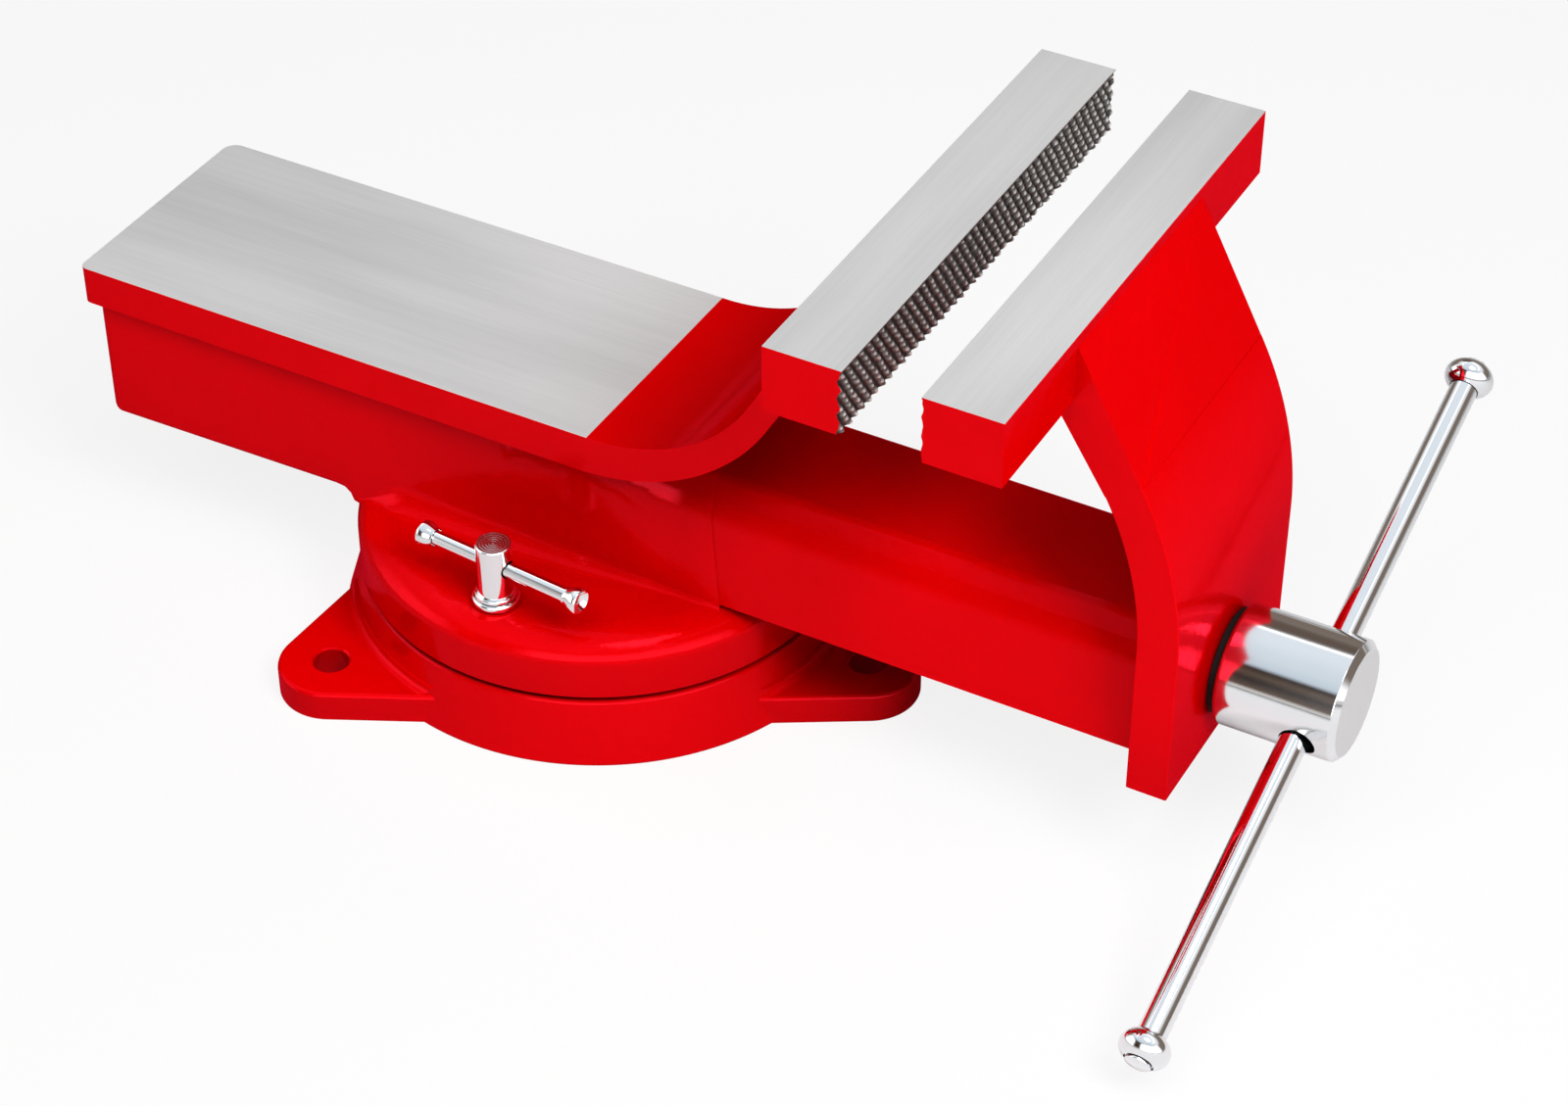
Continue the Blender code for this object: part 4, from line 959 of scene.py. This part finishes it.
mainScrew()
handleParts()
print("screw and handle made")

# Lock screws with their washers and tommy bars
lock = {"circle": 0.0731, "head": 0.0065, "top": 0.076, "collar": 0.0076, "collarHigh": 0.0014,
        "shank": 0.005, "end": 0.0098, "barHeight": 0.0667, "barTurn": math.radians(5.5), "bar": 0.0028,
        "play": 0.0006, "edge": 0.0006, "washer": 0.0087, "washerHigh": 0.003, "seat": 0.0503,
        "rear": 0.0295, "front": 0.0355, "knob": 0.0048, "knobLong": 0.0056, "fit": 0.0003, "sunk": 0.34,
        "face": (0.60, 0.53, 0.56)}
# A cup's outline, as shares of its radius and length
knobShares = ((0, 0.62), (0.28, 0.63), (0.50, 0.69), (0.68, 0.82), (0.80, 0.97), (0.86, 1.0), (0.93, 0.99),
              (0.98, 0.94), (1.0, 0.86), (0.995, 0.72), (0.97, 0.58), (0.93, 0.45), (0.88, 0.32),
              (0.83, 0.22), (0.80, 0.14), (0.74, 0.04))


def lockParts(label, side):
    across = side * lock["circle"]
    place = Matrix.Translation((0, across, 0))
    # The face's pinkish grey is painted reflection of the red casting beside it
    ringed = facedSteel(f"lockFace_{label}", (0, across, lock["top"]), "Z", lock["face"], 0.16, 0.0011, 0.5)
    fit = lock["fit"]
    bottom = lock["seat"] + lock["washerHigh"] + fit
    top, head, edge = lock["top"], lock["head"], lock["edge"]
    profile = [(0, top)] + bend((head - edge, top - edge), edge, 90, 0, 4)
    ledge = bottom + lock["collarHigh"]
    profile += [(head, ledge + 0.0004), (head + 0.0004, ledge)]
    profile += bend((lock["collar"] - edge, ledge - edge), edge, 90, 0, 4)
    shank, foot = lock["shank"], lock["end"]
    profile += [(lock["collar"], bottom), (shank, bottom), (shank, foot), (0, foot)]
    piece = solid(f"lockScrew_{label}", spun(profile, 96, place), brightSteel, ringed)
    turn = side * lock["barTurn"]
    direction = Vector((math.cos(turn), math.sin(turn), 0))
    centre = Vector((0, across, lock["barHeight"]))
    hole = spun(rod(lock["bar"] + lock["play"], 0, 0.02), 48, pointed(centre - direction * 0.01, direction))
    combine(piece, [solid("drillPart", hole, brightSteel)], "DIFFERENCE")
    markEnd(piece, 2, top)
    finishPiece(piece, f"lock_{label}", "polished_steel", f"lock_screw_{label}")

    low, high, rim = lock["seat"], lock["seat"] + lock["washerHigh"], lock["washer"]
    soft = lock["washerHigh"] / 3
    profile = [(shank + fit, low), (shank + fit, high)]
    profile += bend((rim - soft, high - soft), soft, 90, 0, 5)
    profile += bend((rim - soft, low + soft), soft, 0, -90, 5)
    profile.append(profile[0])
    turnedPiece(f"lockWasher_{label}", profile, 96, place, "body", f"lock_washer_{label}")

    bars = pointed(centre, direction)
    seat = lock["knobLong"] * lock["sunk"] - fit
    start, end = -lock["rear"] + lock["knobLong"] / 2 + fit, lock["front"] - lock["knobLong"] / 2 - fit
    turnedPiece(f"tommyBar_{label}", rod(lock["bar"], start - seat, end + seat), 48, bars, f"tommy_{label}",
                f"tommy_bar_{label}")
    bore, length, wide = lock["bar"] + fit, lock["knobLong"], lock["knob"]
    profile = [(wide * share, length * up) for share, up in knobShares]
    mouth, floor = -0.1 * length, lock["sunk"] * length
    profile += [(bore + 0.0004, mouth), (bore, mouth), (bore, floor), (0, floor)]
    flip = Matrix.Rotation(math.pi, 4, "Y")
    ends = (("front", Matrix.Translation((0, 0, end))), ("rear", Matrix.Translation((0, 0, start)) @ flip))
    for name, shift in ends:
        turnedPiece(f"tommyKnob_{name}_{label}", profile, 64, bars @ shift, f"tommy_{label}",
                    f"tommy_knob_{name}_{label}")


for label, side in (("near", -1), ("far", 1)):
    lockParts(label, side)
print("lock screws made")

# Finishes of the solids that stay as they are packed
# The thrust washer takes the black finish as painted shade in the gap behind the screw head
kept = {"main_nut": nutBronze, "thrust_washer": blackSteelAndPaintedGapShade, "retaining_collar": plainSteel,
        "collar_pin": plainSteel, "pivot_pin": plainSteel, "nut_screw_near": blackSteelAndPaintedGapShade,
        "nut_screw_far": blackSteelAndPaintedGapShade, "clamp_nut_near": plainSteel, "clamp_nut_far": plainSteel}
for name, material in kept.items():
    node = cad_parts[name]
    node.data.materials.clear()
    node.data.materials.append(material)

# Floor, light and surroundings
studio = {"floor": 8.0, "floorShade": 0.14, "floorGlow": 0.12, "roomStrength": 3.0, "middle": (0.03, 0, 0.1),
          "distance": 1.6, "cardPlace": (-0.373, 0.683, 0.628)}
# Each lamp's azimuth, elevation, size and power, and whether the surfaces mirror it
lamps = {"key": (-25, 45, 0.6, 16.6, False), "high": (-25, 70, 0.6, 6.0, True),
         "side": (-90, 57, 0.9, 11.0, False)}


def floorMaterial():
    material = bpy.data.materials.new("paleFloor")
    tree, start = emptyTree(material)
    camera = start.node("ShaderNodeLightPath", output="Is Camera Ray")
    glossy = start.node("ShaderNodeLightPath", output="Is Glossy Ray")
    glow = start.node("ShaderNodeEmission", {}, {"Color": (1, 1, 1), "Strength": 1.0})
    matt = start.node("ShaderNodeBsdfDiffuse", {}, {"Color": (0.86, 0.86, 0.86)})
    seen = camera * (1 - studio["floorShade"]) + glossy * studio["floorGlow"]
    mixed = start.node("ShaderNodeMixShader", {}, {0: seen, 1: matt, 2: glow})
    output = tree.nodes.new("ShaderNodeOutputMaterial")
    start.plug(output.inputs["Surface"], mixed)
    return material


def makeFloor():
    bm = bmesh.new()
    bmesh.ops.create_grid(bm, x_segments=1, y_segments=1, size=studio["floor"] / 2)
    mesh = bpy.data.meshes.new("floor")
    bm.to_mesh(mesh)
    bm.free()
    mesh.materials.append(floorMaterial())
    floor = linked("floor", mesh)


def makeWorld():
    world = bpy.data.worlds.new("studio")
    bpy.context.scene.world = world
    tree, start = emptyTree(world)
    towards = start.node("ShaderNodeTexCoord", output="Generated")
    up, front = towards.part("Z"), (0 - towards.part("Y")).ease(-0.25, 0.4)
    behind = [(0.0, (0.22, 0.21, 0.20)), (0.06, (0.07, 0.055, 0.045)), (0.50, (0.08, 0.065, 0.055)),
              (0.66, (0.33, 0.33, 0.33)), (0.79, (0.34, 0.35, 0.36)), (0.82, (0.85, 0.85, 0.85)),
              (0.86, (0.30, 0.32, 0.34))]
    before = [(0.0, (0.25, 0.245, 0.24)), (0.05, (0.22, 0.20, 0.185)), (0.11, (0.04, 0.026, 0.018)),
              (0.34, (0.008, 0.006, 0.005)), (0.50, (0.035, 0.022, 0.014)), (0.64, (0.012, 0.008, 0.006)),
              (0.72, (0.22, 0.25, 0.275)), (0.88, (0.26, 0.29, 0.31))]
    room = front.mix(start.node("ShaderNodeValToRGB", {"stops": behind}, {"Fac": up}),
                     start.node("ShaderNodeValToRGB", {"stops": before}, {"Fac": up}))
    card = start.node("ShaderNodeVectorMath", {"operation": "DOT_PRODUCT"},
                      {0: towards, 1: studio["cardPlace"]}, 1)
    room = card.ease(0.945, 0.985).mix(room, (0.045, 0.033, 0.026))  # a dark card behind the object
    sideways = towards.part("X")
    sides = sideways.ease(-0.25, 0.1) + (1 - sideways.ease(-0.75, -0.5)) * 0.7
    cards = up.ease(0.02, 0.1) * (1 - up.ease(0.50, 0.72)) * front * sides
    room = cards.mix(room, (1.35, 1.35, 1.35))  # bright cards at both ends of the near side
    camera = start.node("ShaderNodeLightPath", output="Is Camera Ray")
    surroundings = start.node("ShaderNodeBackground", {}, {"Color": room, "Strength": studio["roomStrength"]})
    white = start.node("ShaderNodeBackground", {}, {"Color": (1, 1, 1), "Strength": 1.0})
    mixed = start.node("ShaderNodeMixShader", {}, {0: camera, 1: surroundings, 2: white})
    output = tree.nodes.new("ShaderNodeOutputWorld")
    start.plug(output.inputs["Surface"], mixed)
    world.cycles_visibility.diffuse = False  # only mirrored; the lamps do the lighting


def areaLight(name, azimuth, elevation, size, power, seen):
    lamp = bpy.data.lights.new(name, "AREA")
    lamp.size = size
    lamp.energy = power
    holder = linked(name, lamp)
    turn, rise = math.radians(azimuth), math.radians(elevation)
    away = Vector((math.cos(turn) * math.cos(rise), math.sin(turn) * math.cos(rise), math.sin(rise)))
    holder.visible_glossy = seen
    holder.location = Vector(studio["middle"]) + away * studio["distance"]
    holder.rotation_mode = "QUATERNION"
    holder.rotation_quaternion = away.to_track_quat("Z", "Y")


def makeCamera():
    lens = bpy.data.cameras.new("camera")
    lens.sensor_width = 36
    lens.lens = view["focal"] / view["width"] * lens.sensor_width
    camera = linked("camera", lens)
    camera.location = view["place"]
    turn, rise = math.radians(view["azimuth"]), math.radians(view["elevation"])
    forward = Vector((-math.sin(turn) * math.cos(rise), math.cos(turn) * math.cos(rise), -math.sin(rise)))
    camera.rotation_mode = "QUATERNION"
    camera.rotation_quaternion = forward.to_track_quat("-Z", "Y")
    bpy.context.scene.camera = camera


view = {"place": (0.57435, -0.91127, 0.88778), "azimuth": 28.67, "elevation": 38.92, "focal": 3781.42,
        "width": 1600}
makeFloor()
makeWorld()
for name, values in lamps.items():
    areaLight(name, *values)
makeCamera()
bpy.context.scene.view_settings.view_transform = "Standard"

print("studio made")
